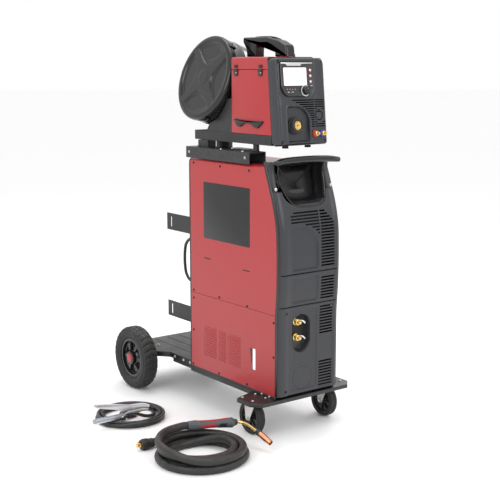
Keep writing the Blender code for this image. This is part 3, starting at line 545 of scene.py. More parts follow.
@dataclass(frozen=True)
class Finish:
    """What a surface is made of and how it is finished.

    colour and worn are linear colours. grain is the scale of the fine bump and relief its depth in metres.
    mottle is how much the colour and gloss drift, dust and wear are amounts from 0 to 1, and stretch draws
    the grain out along the depth.
    """

    name: str
    slot: str
    colour: tuple[float, float, float]
    rough: float
    metal: float = 0.0
    coat: float = 0.0
    grain: float = 900.0
    relief: float = 0.00004
    mottle: float = 0.12
    mottle_scale: float = 9.0
    stretch: float = 1.0
    dust: float = 0.12
    wear: float = 0.0
    worn: tuple[float, float, float] = (0.45, 0.45, 0.44)
    scratches: float = 0.03

    def material(self) -> bpy.types.Material:
        """The finish's material, made once."""
        if self.name in bpy.data.materials:
            return bpy.data.materials[self.name]
        made = bpy.data.materials.new(self.name)
        made.use_nodes = True
        tree = made.node_tree
        shader = tree.nodes["Principled BSDF"]
        shader.inputs["Metallic"].default_value = self.metal
        shader.inputs["Coat Weight"].default_value = self.coat
        shader.inputs["Coat Roughness"].default_value = 0.08
        grain = place_group(tree, grain_group(), Scale=self.grain, Mottle_Scale=self.mottle_scale,
                            Stretch=self.stretch)
        dust = place_group(tree, dust_group(), Amount=self.dust)
        wear = place_group(tree, wear_group(), Amount=self.wear)
        dark = tuple(part * (1 - self.mottle) for part in self.colour)
        light = tuple(min(1.0, part * (1 + self.mottle) + 0.0015) for part in self.colour)
        base = wire(tree, "Mix", {0: grain.outputs["Mottle"], 6: (*dark, 1), 7: (*light, 1)},
                    data_type="RGBA")
        rubbed = wire(tree, "Mix", {0: wear.outputs["Wear"], 6: base.outputs[2], 7: (*self.worn, 1)},
                      data_type="RGBA")
        dusty = wire(tree, "Mix", {0: dust.outputs["Dust"], 6: rubbed.outputs[2], 7: (0.30, 0.28, 0.26, 1)},
                     data_type="RGBA")
        tree.links.new(self.pattern(tree, dusty.outputs[2]), shader.inputs["Base Color"])
        low, high = max(0.03, self.rough - 0.5 * self.mottle), min(1.0, self.rough + 0.5 * self.mottle)
        gloss = wire(tree, "MapRange", {"Value": grain.outputs["Mottle"], "From Min": 0.3, "From Max": 0.7,
                                        "To Min": low, "To Max": high}).outputs[0]
        scored = wire(tree, "Math", {0: grain.outputs["Scratch"], 1: self.scratches, 2: gloss},
                      operation="MULTIPLY_ADD").outputs[0]
        dulled = wire(tree, "Mix", {0: dust.outputs["Dust"], 2: scored, 3: 0.85}).outputs[0]
        tree.links.new(dulled, shader.inputs["Roughness"])
        bump = wire(tree, "Bump", {"Strength": 1.0, "Distance": self.relief, "Height": self.height(tree,
            grain)})
        tree.links.new(bump.outputs[0], shader.inputs["Normal"])
        return made

    def pattern(self, tree: bpy.types.NodeTree, colour: bpy.types.NodeSocket) -> bpy.types.NodeSocket:
        """The colour that reaches the shader; a plain finish leaves it as it is."""
        return colour

    def height(self, tree: bpy.types.NodeTree, grain: bpy.types.Node) -> bpy.types.NodeSocket:
        """The height that the bump reads; a plain finish has only its grain."""
        return grain.outputs["Height"]


@dataclass(frozen=True)
class Ribbed(Finish):
    """A finish with regular ribs: a sine wave along one axis, added to the grain."""

    pitch: float = 0.004
    axis: str = "Z"

    def height(self, tree: bpy.types.NodeTree, grain: bpy.types.Node) -> bpy.types.NodeSocket:
        """Grain and ribs together."""
        where = wire(tree, "TexCoord").outputs["Object"]
        wave = wire(tree, "TexWave", {"Vector": where, "Scale": 0.314 / self.pitch, "Distortion": 0.4,
                                      "Detail": 1.0}, wave_type="BANDS", bands_direction=self.axis)
        return wire(tree, "Math", {0: grain.outputs["Height"], 1: 0.35, 2: wave.outputs["Fac"]},
                    operation="MULTIPLY_ADD").outputs[0]


@dataclass(frozen=True)
class Lit(Finish):
    """A screen that shines from behind, its glow tinted paler in patches."""

    glow: float = 0.6

    def material(self) -> bpy.types.Material:
        """The plain material with a soft light of its own."""
        known = self.name in bpy.data.materials
        made = Finish.material(self)
        if not known:
            tree = made.node_tree
            shader = tree.nodes["Principled BSDF"]
            shader.inputs["Emission Strength"].default_value = self.glow
            where = wire(tree, "TexCoord").outputs["Object"]
            cloud = wire(tree, "TexNoise", {"Vector": where, "Scale": 14.0, "Detail": 1.0})
            tint = wire(tree, "Mix", {0: cloud.outputs["Fac"], 6: (*self.colour, 1), 7: (0.86, 0.93, 0.97,
                1)},
                        data_type="RGBA")
            tree.links.new(tint.outputs[2], shader.inputs["Emission Color"])
        return made


RED_PAINT = Finish("red_powder_coat", "red_paint", (0.365, 0.0125, 0.0165), 0.34, coat=0.25, grain=700.0,
                   relief=0.00005, mottle=0.05, wear=0.35, worn=(0.30, 0.05, 0.05), dust=0.06)
BLACK_PAINT = Finish("black_powder_coat", "black_paint", (0.009, 0.009, 0.010), 0.42, grain=650.0,
                     relief=0.00007, mottle=0.18, wear=0.3, worn=(0.08, 0.08, 0.08), dust=0.05)
BLACK_EMBLEM = Finish("black_print", "black_paint", (0.006, 0.006, 0.007), 0.30, grain=500.0, relief=0.00001,
                      mottle=0.10, dust=0.03)
GREY_PLASTIC = Finish("charcoal_moulding", "grey_plastic", (0.024, 0.025, 0.030), 0.34, grain=1400.0,
                      relief=0.00006, mottle=0.08, dust=0.05, wear=0.15, worn=(0.07, 0.07, 0.08))
DARK_PLASTIC = Finish("dark_moulding", "grey_plastic", (0.022, 0.022, 0.025), 0.42, grain=1400.0,
                      relief=0.00006, mottle=0.10, dust=0.10)
BLACK_PLASTIC = Finish("black_moulding", "black_plastic", (0.007, 0.007, 0.008), 0.22, grain=1100.0,
                       relief=0.00004, mottle=0.14, dust=0.04, wear=0.2, worn=(0.04, 0.04, 0.04))
DRUM_PLASTIC = Finish("drum_moulding", "black_plastic", (0.008, 0.0078, 0.0074), 0.20, grain=300.0,
                      relief=0.00006, mottle=0.16, dust=0.03, mottle_scale=5.0)
# Painted shade: a near-black finish for flat pieces put where openings and hollows show only shadow.
PAINTED_SHADE = Finish("painted_shade_inside", "black_plastic", (0.004, 0.004, 0.004), 0.6, grain=400.0, dust=0.02)
RUBBER = Finish("black_rubber", "rubber", (0.014, 0.014, 0.014), 0.62, grain=420.0, relief=0.00012,
                mottle=0.18, mottle_scale=30.0, dust=0.22)
HOSE = Ribbed("hose_cover", "rubber", (0.013, 0.0125, 0.012), 0.50, grain=520.0, relief=0.00016, mottle=0.22,
              mottle_scale=26.0, dust=0.14, pitch=0.006)
LEAD = Finish("lead_cover", "rubber", (0.011, 0.011, 0.012), 0.36, grain=620.0, relief=0.00008, mottle=0.2,
              mottle_scale=24.0, dust=0.12)
TYRE = Finish("tyre_rubber", "tread", (0.016, 0.016, 0.016), 0.72, grain=360.0, relief=0.00018, mottle=0.22,
              mottle_scale=24.0, dust=0.3)
ZINC = Finish("zinc_plate", "zinc", (0.62, 0.62, 0.60), 0.30, metal=1.0, grain=260.0, relief=0.00003,
              mottle=0.16, mottle_scale=60.0, dust=0.08)
CLAMP_ZINC = Finish("clamp_plate", "zinc", (0.72, 0.73, 0.76), 0.34, metal=1.0, grain=220.0, relief=0.00003,
                    mottle=0.10, mottle_scale=40.0, dust=0.05)
STEEL = Finish("machined_steel", "steel", (0.54, 0.54, 0.55), 0.32, metal=1.0, grain=500.0, stretch=0.05,
               relief=0.00002, mottle=0.12, dust=0.05)
ALUMINIUM = Finish("bright_fins", "steel", (0.78, 0.78, 0.78), 0.42, metal=1.0, grain=300.0, mottle=0.12,
                   dust=0.1)
BRASS = Finish("turned_brass", "brass", (0.80, 0.55, 0.18), 0.24, metal=1.0, grain=700.0, relief=0.00001,
               mottle=0.16, mottle_scale=50.0, dust=0.04)
COPPER = Finish("copper", "brass", (0.72, 0.33, 0.19), 0.30, metal=1.0, grain=500.0, relief=0.00002,
                mottle=0.22, mottle_scale=60.0, dust=0.04)
TANK = Finish("tank_moulding", "tank", (0.72, 0.74, 0.76), 0.5, grain=500.0, relief=0.00008, mottle=0.06)
WIRE = Ribbed("wound_wire", "wire", (0.70, 0.38, 0.22), 0.30, metal=1.0, grain=500.0, relief=0.0005,
              mottle=0.15, dust=0.03, pitch=0.0016, axis="X")
GLASS = Finish("panel_window", "glass", (0.012, 0.012, 0.014), 0.10, coat=0.6, grain=300.0, relief=0.000004,
               mottle=0.06, dust=0.03)
SILVER = Finish("silver_print", "glass", (0.62, 0.62, 0.62), 0.28, metal=0.7, grain=600.0, relief=0.00001,
                mottle=0.08, dust=0.04)
SCREEN = Lit("lit_screen", "glass", (0.62, 0.76, 0.84), 0.16, grain=900.0, relief=0.000004, mottle=0.04,
             dust=0.02)
SEGMENT = Finish("screen_segment", "glass", (0.05, 0.06, 0.08), 0.3, grain=900.0, relief=0.000004,
                 mottle=0.06,
                 dust=0.0)
RED_PLASTIC = Finish("red_moulding", "red_paint", (0.42, 0.013, 0.015), 0.34, grain=900.0, relief=0.00004,
                     mottle=0.08, dust=0.06)
BLUE_PLASTIC = Finish("blue_moulding", "black_plastic", (0.018, 0.030, 0.36), 0.34, grain=900.0,
                      relief=0.00004, mottle=0.08, dust=0.06)
TORCH_GREY = Finish("torch_moulding", "black_plastic", (0.060, 0.072, 0.080), 0.46, grain=900.0,
                    relief=0.00008, mottle=0.10, dust=0.08)
SLEEVE = Finish("sleeve_vinyl", "zinc", (0.30, 0.35, 0.40), 0.38, grain=700.0, relief=0.00004, mottle=0.10,
                dust=0.06)
FLOOR = Finish("studio_floor", "black_plastic", (0.97, 0.97, 0.97), 0.65, grain=40.0, relief=0.00002,
               mottle=0.01, dust=0.0)


# ---------------------------------------------------------------- sub-assemblies


@dataclass
class Studio:
    """The camera, the floor and the soft lights."""

    place: tuple[float, float, float] = (-2.42003, -2.87386, 1.33153)
    back: tuple[float, float, float] = (0.5932, 0.7866, -0.1715)
    lens: float = 76.09

    def camera(self) -> None:
        """Sets the camera; its up direction is back crossed with right."""
        data = bpy.data.cameras.new("camera")
        data.lens, data.sensor_width = self.lens, 36.0
        data.clip_end = 60.0
        camera = bpy.data.objects.new("camera", data)
        bpy.context.scene.collection.objects.link(camera)
        away = -Vector(self.back).normalized()
        right = Vector((-away.y, away.x, 0.0)).normalized()
        over = away.cross(right)
        turn = Matrix((right, over, away)).transposed().to_4x4()
        camera.matrix_world = Matrix.Translation(Vector(spot(*self.place))) @ turn
        bpy.context.scene.camera = camera

    def light(self, name: str, at: Sequence[float], size: float, power: float, aim: Sequence[float]) -> None:
        """Adds a square soft light at a point, turned to another."""
        data = bpy.data.lights.new(name, "AREA")
        data.shape, data.size, data.energy = "SQUARE", size, power
        lamp = bpy.data.objects.new(name, data)
        bpy.context.scene.collection.objects.link(lamp)
        lamp.matrix_world = Matrix.Translation(Vector(at)) @ axis_turn(Vector(at) - Vector(aim))

    def build(self) -> None:
        """Builds the whole studio."""
        self.camera()
        ring = disc(60.0, 96)
        ground = bpy.data.meshes.new("floor")
        ground.from_pydata([(x, y, 0.0) for x, y in ring.tolist()], [], [list(range(len(ring)))])
        ground.materials.append(FLOOR.material())
        floor = bpy.data.objects.new("floor", ground)
        bpy.context.scene.collection.objects.link(floor)
        world = bpy.data.worlds.new("studio")
        bpy.context.scene.world = world
        world.use_nodes = True
        world.node_tree.nodes["Background"].inputs[0].default_value = (1.0, 1.0, 1.0, 1.0)
        world.node_tree.nodes["Background"].inputs[1].default_value = 1.0
        self.light("key", (-3.4, -1.4, 2.6), 2.2, 46.0, (0.0, 0.0, 0.7))
        self.light("front", (0.6, -3.8, 2.4), 1.6, 30.0, (0.0, 0.0, 0.8))
        self.light("top", (0.3, 0.4, 4.2), 2.4, 45.0, (0.0, 0.0, 0.8))
        self.light("rim", (3.2, 1.2, 2.0), 1.6, 30.0, (0.0, 0.0, 0.8))
        bpy.context.scene.view_settings.view_transform = "Standard"


@dataclass
class Winding:
    """A cord wound in a coil: keys of turn in degrees, radius and height, joined by S-curves."""

    centre: tuple[float, float]
    keys: tuple[tuple[float, float, float], ...]

    def points(self, step: float = 4.0) -> np.ndarray:
        """Points round the coil: radius and height go from key to key along an S-curve of the angle."""
        table = np.array(self.keys)
        turn = np.arange(table[0, 0], table[-1, 0] + 0.01, step)
        part = np.searchsorted(table[:, 0], turn, side="right").clip(1, len(table) - 1)
        start, stop = table[part - 1], table[part]
        t = (turn - start[:, 0]) / (stop[:, 0] - start[:, 0])
        mix = (t * t * (3 - 2 * t))[:, None]
        radius, height = (start[:, 1:] * (1 - mix) + stop[:, 1:] * mix).T
        angle = np.radians(turn)
        return spots(np.stack([self.centre[0] + radius * np.cos(angle),
                               self.centre[1] + radius * np.sin(angle),
                               height], -1))


@dataclass
class Torch:
    """The torch lying on its coiled hose, and the plug at the hose's other end."""

    rear: tuple[float, float, float] = (-0.412, 0.106, 0.0765)
    front: tuple[float, float, float] = (-0.286, 0.049, 0.0765)
    hose_d: float = 0.028
    hose_length: float = 3.5
    plug_back: tuple[float, float, float] = (-0.545, 0.181, 0.020)
    plug_tip: tuple[float, float, float] = (-0.612, 0.184, 0.020)
    coil: Winding = field(default_factory=lambda: Winding((-0.472, -0.010), (
        (75.7, 0.1325, 0.0765), (120.0, 0.1415, 0.0745), (175.0, 0.1455, 0.0670), (250.0, 0.1455, 0.0422),
        (440.0, 0.1455, 0.0422), (620.0, 0.1155, 0.0422), (720.0, 0.1155, 0.0422), (810.0, 0.1155, 0.0143),
        (990.0, 0.1155, 0.0143), (1170.0, 0.1455, 0.0143), (1350.0, 0.1455, 0.0143), (1530.0, 0.1820,
            0.0143))))

    def along(self) -> np.ndarray:
        """The handle's direction, from its rear to its front."""
        return unit(np.array(self.front) - np.array(self.rear))

    def hose(self) -> bpy.types.Object:
        """The hose: out of the handle, round the coil in two layers, and into its plug."""
        exit_point = spot(*self.rear) - self.along() * 0.0305
        wound = self.coil.points()
        wound = wound[np.linalg.norm(wound - exit_point, axis=1) > 0.030][1:]
        last = spots([(-0.5300, 0.1806, 0.0200), (-0.5443, 0.1810, 0.0200)])
        route = np.vstack([exit_point, exit_point - self.along() * 0.016, wound, last])
        path = resample(route, 0.007)
        piece = tube(path, self.hose_d / 2, sides=18).build("torch_hose", HOSE, CART, ("hose_coil",
            "hose_tail"))
        self.exit_point, self.path = exit_point, path
        return piece

    def plug(self) -> list[bpy.types.Object]:
        """The central plug: a ribbed grip, its collar and the brass pins."""
        back, tip = spot(*self.plug_back), spot(*self.plug_tip)
        way = unit(tip - back)
        long = float(np.linalg.norm(tip - back))
        grip = [(0.0, 0.0), (0.0140, 0.0), (0.0165, 0.003), (0.0172, 0.016), (0.0165, 0.018), (0.0165, 0.021),
                (0.0180, 0.023), (0.0190, 0.034), (0.0190, 0.044), (0.0178, 0.046), (0.0178, 0.049), (0.0,
                    0.049)]
        body = lathe(grip, back, way, 40)
        nub = lathe([(0.0, 0.0), (0.0012, 0.0004), (0.0013, 0.020), (0.0, 0.0208)], (0, 0, 0), (0, 0, 1), 8)
        base = Matrix.Translation(Vector(back + way * 0.024)) @ axis_turn(way)
        turns = [base @ Matrix.Rotation(a, 4, "Z") @ Matrix.Translation((0.0186, 0, 0))
                 for a in np.linspace(0, 2 * np.pi, 18, endpoint=False)]
        pin = lathe([(0.0, long), (0.0050, long), (0.0066, long - 0.0016), (0.0066, long - 0.012),
                     (0.0085, long - 0.013), (0.0085, 0.048), (0.0, 0.048)], back, way, 28)
        small = [lathe([(0.0, 0.060), (0.0016, 0.0596), (0.0016, 0.048), (0.0, 0.048)],
                       back + axis_side(way, turn) * 0.0125, way, 10) for turn in (0.6, 2.6)]
        return [join([body, nub.copies(turns)]).build("torch_plug_grip", RUBBER, CART, ("torch_plug",)),
                join([pin, *small]).build("torch_plug_pins", BRASS, CART)]

    def build(self) -> None:
        """Builds the torch's hose and its plug."""
        hose = self.hose()
        pins = self.plug()


def axis_side(axis: np.ndarray, turn: float) -> np.ndarray:
    """A direction square to an axis, at an angle round it."""
    side = np.array(axis_turn(axis).to_3x3() @ Vector((math.cos(turn), math.sin(turn), 0.0)))
    return side


@dataclass
class EarthLead:
    """The earth clamp's coiled lead and the plug inside the coil."""

    lead_d: float = 0.013
    lead_length: float = 2.8
    start: tuple[float, float, float] = (-0.5000, 0.4685, 0.0400)
    plug_back: tuple[float, float, float] = (-0.4655, 0.4978, 0.0130)
    plug_way: tuple[float, float, float] = (0.9397, 0.3420, 0.0)
    coil: Winding = field(default_factory=lambda: Winding((-0.447, 0.505), (
        (12.0, 0.1120, 0.0068), (40.0, 0.1130, 0.0068), (180.0, 0.1130, 0.0068), (360.0, 0.1270, 0.0068),
        (520.0, 0.1270, 0.0068), (640.0, 0.1270, 0.0199), (800.0, 0.1270, 0.0199), (980.0, 0.1130, 0.0199),
        (1205.0, 0.1130, 0.0199))))

    def lead(self) -> bpy.types.Object:
        """The lead: out of the clamp, round the coil, and back inside it to the plug."""
        first = spots([self.start, (-0.4780, 0.4685, 0.0392), (-0.4470, 0.4655, 0.0300), (-0.4120, 0.4620,
            0.0150),
                       (-0.3820, 0.4650, 0.0080), (-0.3560, 0.4800, 0.0068)])
        turn = np.radians(np.linspace(215, 366, 9))
        drop = np.linspace(0.0192, 0.0075, 9)
        loop = np.stack([-0.4842 + 0.055 * np.cos(turn - np.pi / 2),
                         0.5495 + 0.055 * np.sin(turn - np.pi / 2),
                         drop], -1)
        last = spots(loop[1:])
        back = spot(*self.plug_back)
        way = np.array(self.plug_way)
        route = np.vstack([first, self.coil.points(), last, back - way * 0.016, back - way * 0.0004])
        path = resample(route, 0.0045)
        piece = tube(path, self.lead_d / 2, sides=14).build("earth_lead", LEAD, CART, ("lead_coil",
            "lead_tail"))
        self.path = path
        return piece

    def plug(self) -> list[bpy.types.Object]:
        """The twist-lock plug: a rubber sleeve, and a brass pin with its key."""
        back, way = spot(*self.plug_back), np.array(self.plug_way)
        sleeve = lathe([(0.0, 0.0), (0.0080, 0.0), (0.0098, 0.003), (0.0104, 0.020), (0.0104, 0.022),
                        (0.0118, 0.024),
                        (0.0125, 0.030), (0.0125, 0.050), (0.0112, 0.053), (0.0, 0.053)], back, way, 32)
        pin = lathe([(0.0, 0.0810), (0.0052, 0.0810), (0.0065, 0.0790), (0.0065, 0.064), (0.0078, 0.0625),
                     (0.0078, 0.053), (0.0, 0.053)], back, way, 24)
        key = block((-0.0011, 0.0052, 0.066), (0.0011, 0.0076, 0.077), 0.0004).moved(y=-FRONT_Y)
        key = key.mapped(Matrix.Translation(Vector(back)) @ axis_turn(way))
        return [sleeve.build("earth_plug_sleeve", RUBBER, CART, ("lead_plug",)),
                join([pin, key]).build("earth_plug_pin", BRASS, CART)]

    def build(self) -> None:
        """Builds the lead and its plug."""
        piece = self.lead()
        pins = self.plug()
        spot(*self.start).tolist()


def lines(low: float, high: float, cuts: np.ndarray, step: float) -> np.ndarray:
    """Grid lines from low to high: every cut inside, and even lines that keep clear of the cuts."""
    edges = np.unique(np.round(cuts[(cuts > low) & (cuts < high)], 6))
    plain = np.linspace(low, high, max(2, round((high - low) / step) + 1))
    if len(edges):
        clear = np.abs(plain[:, None] - edges).min(1) > step * 0.45
        plain = plain[clear | (plain == low) | (plain == high)]
    return np.sort(np.concatenate([plain, edges]))


def box_distance(x: np.ndarray, z: np.ndarray, span: Sequence[float], radii: Sequence[float]) -> np.ndarray:
    """The signed distance to a rectangle with rounded corners, negative inside.

    Args:
        x: First coordinates.
        z: Second coordinates.
        span: Least and greatest x, then least and greatest z.
        radii: The corners' radii: lower left, lower right, upper right, upper left.

    Returns:
        The distances.
    """
    across, over = x - (span[0] + span[1]) / 2, z - (span[2] + span[3]) / 2
    radius = np.where(over > 0, np.where(across > 0, radii[2], radii[3]), np.where(across > 0, radii[1],
        radii[0]))
    out_x = np.abs(across) - (span[1] - span[0]) / 2 + radius
    out_z = np.abs(over) - (span[3] - span[2]) / 2 + radius
    return np.hypot(np.maximum(out_x, 0), np.maximum(out_z, 0)) + np.minimum(np.maximum(out_x, out_z),
        0) - radius


def bowl(distance: np.ndarray, deep: float, wall: float) -> np.ndarray:
    """The depth of a recess whose wall is an S-curve inside the outline at distance 0."""
    return deep * (1 - smoothstep(distance, -wall, 0.0))


def roll(gap: np.ndarray, radius: float) -> np.ndarray:
    """How far a rounded rim falls back at a distance from its border: a quarter circle."""
    near = np.clip(radius - gap, 0, radius)
    return radius - np.sqrt(radius**2 - near**2)


def moulding(span: Sequence[float], face: Callable[[np.ndarray, np.ndarray], np.ndarray], thick: float,
             windows: Sequence[Sequence[float]] = (), radius: float = 0.0, step: float = 0.0022) -> Form:
    """A moulded face over a rectangle, with windows through it.

    A grid point (x, z) stands at depth face(x, z), and the inner face at that depth plus the thickness.
    Points
    outside the rectangle's rounded corners are drawn in to the corner's arc.

    Args:
        span: Least and greatest x, then least and greatest z.
        face: The depth of the face at (x, z).
        thick: The wall's thickness.
        windows: Openings, each as least and greatest x, then least and greatest z.
        radius: The radius of the rectangle's corners.
        step: The grid's spacing.

    Returns:
        The shape.
    """
    holes = np.reshape(list(windows) or [(9.0, 9.0, 9.0, 9.0)], (-1, 4))
    columns, rows = lines(span[0], span[1], holes[:, :2].ravel(), step), lines(span[2], span[3], holes[:,
        2:].ravel(), step)
    mid_x, mid_z = (columns[1:] + columns[:-1]) / 2, (rows[1:] + rows[:-1]) / 2
    open_x = (mid_x > holes[:, :1]) & (mid_x < holes[:, 1:2])
    open_z = (mid_z > holes[:, 2:3]) & (mid_z < holes[:, 3:])
    kept = ~np.einsum("hi,hj->ij", open_z, open_x)

    def place(x: np.ndarray, z: np.ndarray, deep: float) -> np.ndarray:
        """Draws the corners in and stands the grid up."""
        mid = (span[0] + span[1]) / 2, (span[2] + span[3]) / 2
        core = (span[1] - span[0]) / 2 - radius, (span[3] - span[2]) / 2 - radius
        out = np.maximum(np.abs(x - mid[0]) - core[0], 0), np.maximum(np.abs(z - mid[1]) - core[1], 0)
        pull = np.minimum(1.0, radius / np.maximum(np.hypot(*out), 1e-9)) if radius else 1.0
        both = (out[0] > 0) & (out[1] > 0)
        new_x = np.where(both, mid[0] + np.sign(x - mid[0]) * (core[0] + out[0] * pull), x)
        new_z = np.where(both, mid[1] + np.sign(z - mid[1]) * (core[1] + out[1] * pull), z)
        return stand(np.stack([new_x, new_z], -1), face(new_x, new_z) + deep, Plane.FRONT)

    return pierced(columns, rows, kept, place, thick)


EDGE = resample(np.array([(0.0, 0, 0.150), (0.0, 0, 0.300), (0.0, 0, 0.440), (-0.006, 0, 0.530), (-0.008, 0,
    0.610),
                          (-0.007, 0, 0.690), (-0.002, 0, 0.770), (0.017, 0, 0.849), (0.044, 0, 0.922),
                          (0.067, 0, 0.984), (0.080, 0, 1.020)]), 0.004)


def front_edge(z: np.ndarray) -> np.ndarray:
    """The depth of the side panels' curved front edge at a height."""
    return np.interp(z, EDGE[:, 2], EDGE[:, 0])


def screws(name: str, points: Sequence[Sequence[float]], axis: Sequence[float], radius: float,
           finish: "Finish",
           body: str) -> None:
    """Builds screws with washers at (x, depth, z) points, looking along an axis."""
    washer = lathe([(0.0, 0.0), (radius * 1.35, 0.0), (radius * 1.35, radius * 0.12), (0.0, radius * 0.12)],
                   (0, 0, 0), sides=28)
    head = screw_head(radius, radius * 0.62).moved(z=radius * 0.1)
    join([washer, head]).copies(aimed(points, axis)).build(name, finish, body)


@dataclass
class Cabinet:
    """The red sheet metal round the power source and its rear wall."""

    half: float = 0.141
    rear: float = 0.534
    roof: float = 0.983
    seam: float = 0.4535
    floor: float = 0.153
    sheet: float = 0.002
    corner: float = 0.018
    columns: tuple[tuple[float, float], ...] = ((0.206, 0.292), (0.300, 0.352), (0.361, 0.448))
    louvre_low: float = 0.213
    louvre_pitch: float = 0.0102
    louvre_count: int = 12
    gauge: tuple[float, float, float, float] = (0.116, 0.134, 0.226, 0.307)

    def cover(self) -> None:
        """The roof and upper sides: a U with rounded shoulders, from the curved front edge to the rear."""
        flat, bend = self.half - self.corner, self.corner * math.pi / 2
        reach = flat + bend + self.roof - self.corner - self.seam - 0.0006
        side = np.linspace(flat + bend, reach, 60)
        half = np.concatenate([np.linspace(0, flat, 8), np.linspace(flat, flat + bend, 9)[1:], side[1:]])
        u = np.concatenate([-half[:0:-1], half])

        def place(u: np.ndarray, v: np.ndarray, w: float) -> np.ndarray:
            """Stands the sheet round its section."""
            reach = np.abs(u)
            turn = np.clip((reach - flat) / self.corner, 0, math.pi / 2)
            down = np.maximum(reach - flat - bend, 0)
            x = np.sign(u) * (np.minimum(reach, flat) + (self.corner - w) * np.sin(turn))
            z = self.roof - self.corner + (self.corner - w) * np.cos(turn) - down
            front = front_edge(z) + 0.0005
            return np.stack([x, FRONT_Y + front + v * (self.rear - front), z], -1)

        rows = np.linspace(0, 1, 9)
        kept = np.ones((8, len(u) - 1), bool)
        pierced(u, rows, kept, place, self.sheet).build("cabinet_cover", RED_PAINT, CART, ("upper_cover",),
                                                        bevel=0.0007)

    def louvres(self) -> list[tuple[float, float, float, float]]:
        """The louvre windows as depths and heights."""
        rows = self.louvre_low + self.louvre_pitch * np.arange(self.louvre_count)
        return [(near, far, z, z + self.louvre_pitch * 0.56) for near, far in self.columns for z in rows]

    def lower_panel(self, side: int, word: str) -> None:
        """A lower side panel with its louvres, its level gauge and the gauge's mark."""
        windows = np.array([*self.louvres(), self.gauge])
        columns = lines(0.0008, self.rear, windows[:, :2].ravel(), 0.03)
        rows = lines(self.floor + 0.0005, self.seam - 0.0004, windows[:, 2:].ravel(), 0.03)
        mid_u, mid_v = (columns[1:] + columns[:-1]) / 2, (rows[1:] + rows[:-1]) / 2
        across = (mid_u > windows[:, :1]) & (mid_u < windows[:, 1:2])
        over = (mid_v > windows[:, 2:3]) & (mid_v < windows[:, 3:])
        kept = ~np.einsum("hi,hj->ij", over, across)
        sheet = pierced(columns, rows, kept, lambda u, v, w: np.stack(
            [side * (self.half - w) + 0 * u, FRONT_Y + u, v], -1), self.sheet)
        t = np.linspace(0, 1, 15)
        swell = np.sin(np.pi * np.clip(t, 0.0, 1.0)) ** 0.35
        turn = np.linspace(0, np.pi / 2, 6)
        lips = []
        for near, far, low, high in self.louvres():
            tall = high - low
            out = 0.0032 * swell[:, None] * np.sin(turn)
            drop = tall * 0.9 * (1 - np.cos(turn))[None] + 0 * out
            outer = np.stack([side * (self.half + out), FRONT_Y + near + (far - near) * t[:, None] + 0 * out,
                              high + 0.0008 - drop], -1)
            inner = outer - np.array((side * 0.0011, 0.0, 0.0003))
            lips.append(loft(np.concatenate([outer, inner[:, ::-1]], 1)))
        join([sheet, *lips]).build(f"lower_panel_{word}_sheet", RED_PAINT, CART, (f"lower_panel_{word}",),
                                   bevel=0.0004)
        # Painted light: the gauge wears the lit screen finish, so it glows though the window is no lamp.
        strip = oblong((self.gauge[0] + 0.001, self.gauge[2] + 0.001), (self.gauge[1] - 0.001,
            self.gauge[3] - 0.001), 0.002)
        slab(strip, side * (self.half - 0.006), side * (self.half - 0.0012), Plane.SIDE, 0.0008).build(
            f"level_gauge_{word}", SCREEN, CART)
        wedge = [(self.gauge[1] + 0.002, self.gauge[3]), (self.gauge[1] + 0.014, self.gauge[3]),
                 (self.gauge[1] + 0.002, self.gauge[2] + 0.012)]
        slab(rounded(wedge, 0.001), side * (self.half + 0.0001), side * (self.half + 0.0007), Plane.SIDE,
             0.0003).build(
            f"level_mark_{word}", BLACK_EMBLEM, CART)

    def dress(self) -> None:
        """The blank black badge, the slits as flat slabs of painted shade, and the screws on the sides."""
        for side, word in SIDES:
            face = side * (self.half + 0.0001)
            square = oblong((0.150, 0.680), (0.443, 0.897), 0.003)
            slab(square, face, face + side * 0.0007, Plane.SIDE, 0.0004).build(f"badge_{word}", BLACK_EMBLEM,
                CART)
            # Painted shade: each slit is a thin near-black slab on the sheet, not an opening.
            slits = [slab(oblong((near, z), (near + 0.042, z + 0.004), 0.0018),
                          face, face + side * 0.0004, Plane.SIDE, 0.0002) for near, z in ((0.400, 0.600),
                              (0.150, 0.590))]
            join(slits).build(f"slits_{word}", PAINTED_SHADE, CART)
            points = [(0.510, 0.965), (0.334, 0.963), (0.155, 0.961), (0.516, 0.463), (0.517, 0.431), (0.343,
                0.462),
                      (0.166, 0.460), (0.519, 0.302), (0.524, 0.161), (0.347, 0.161), (0.168, 0.161), (0.008,
                          0.427),
                      (0.008, 0.300)]
            screws(f"panel_screws_{word}", [(side * self.half, depth, z) for depth, z in points], (side, 0,
                0), 0.0038,
                   BLACK_PLASTIC, CART)
            rail = [(0.001, 0.1415), (0.546, 0.1415), (0.546, 0.1535), (0.001, 0.1535)]
            slab(rounded(rail, 0.002), side * 0.1345, side * 0.1425, Plane.SIDE, 0.001).build(
                f"bottom_rail_{word}", BLACK_PAINT, CART)

    def rear_wall(self) -> None:
        """The rear wall with its fan grille, the glands and the mains switch plate."""
        def face(x: np.ndarray, z: np.ndarray) -> np.ndarray:
            """Flat, with a shallow pressed frame round the fan."""
            ring = np.abs(np.hypot(x, z - 0.800) - 0.100)
            return 0.542 + 0.0020 * (1 - smoothstep(ring, 0.003, 0.007)) - 0 * x

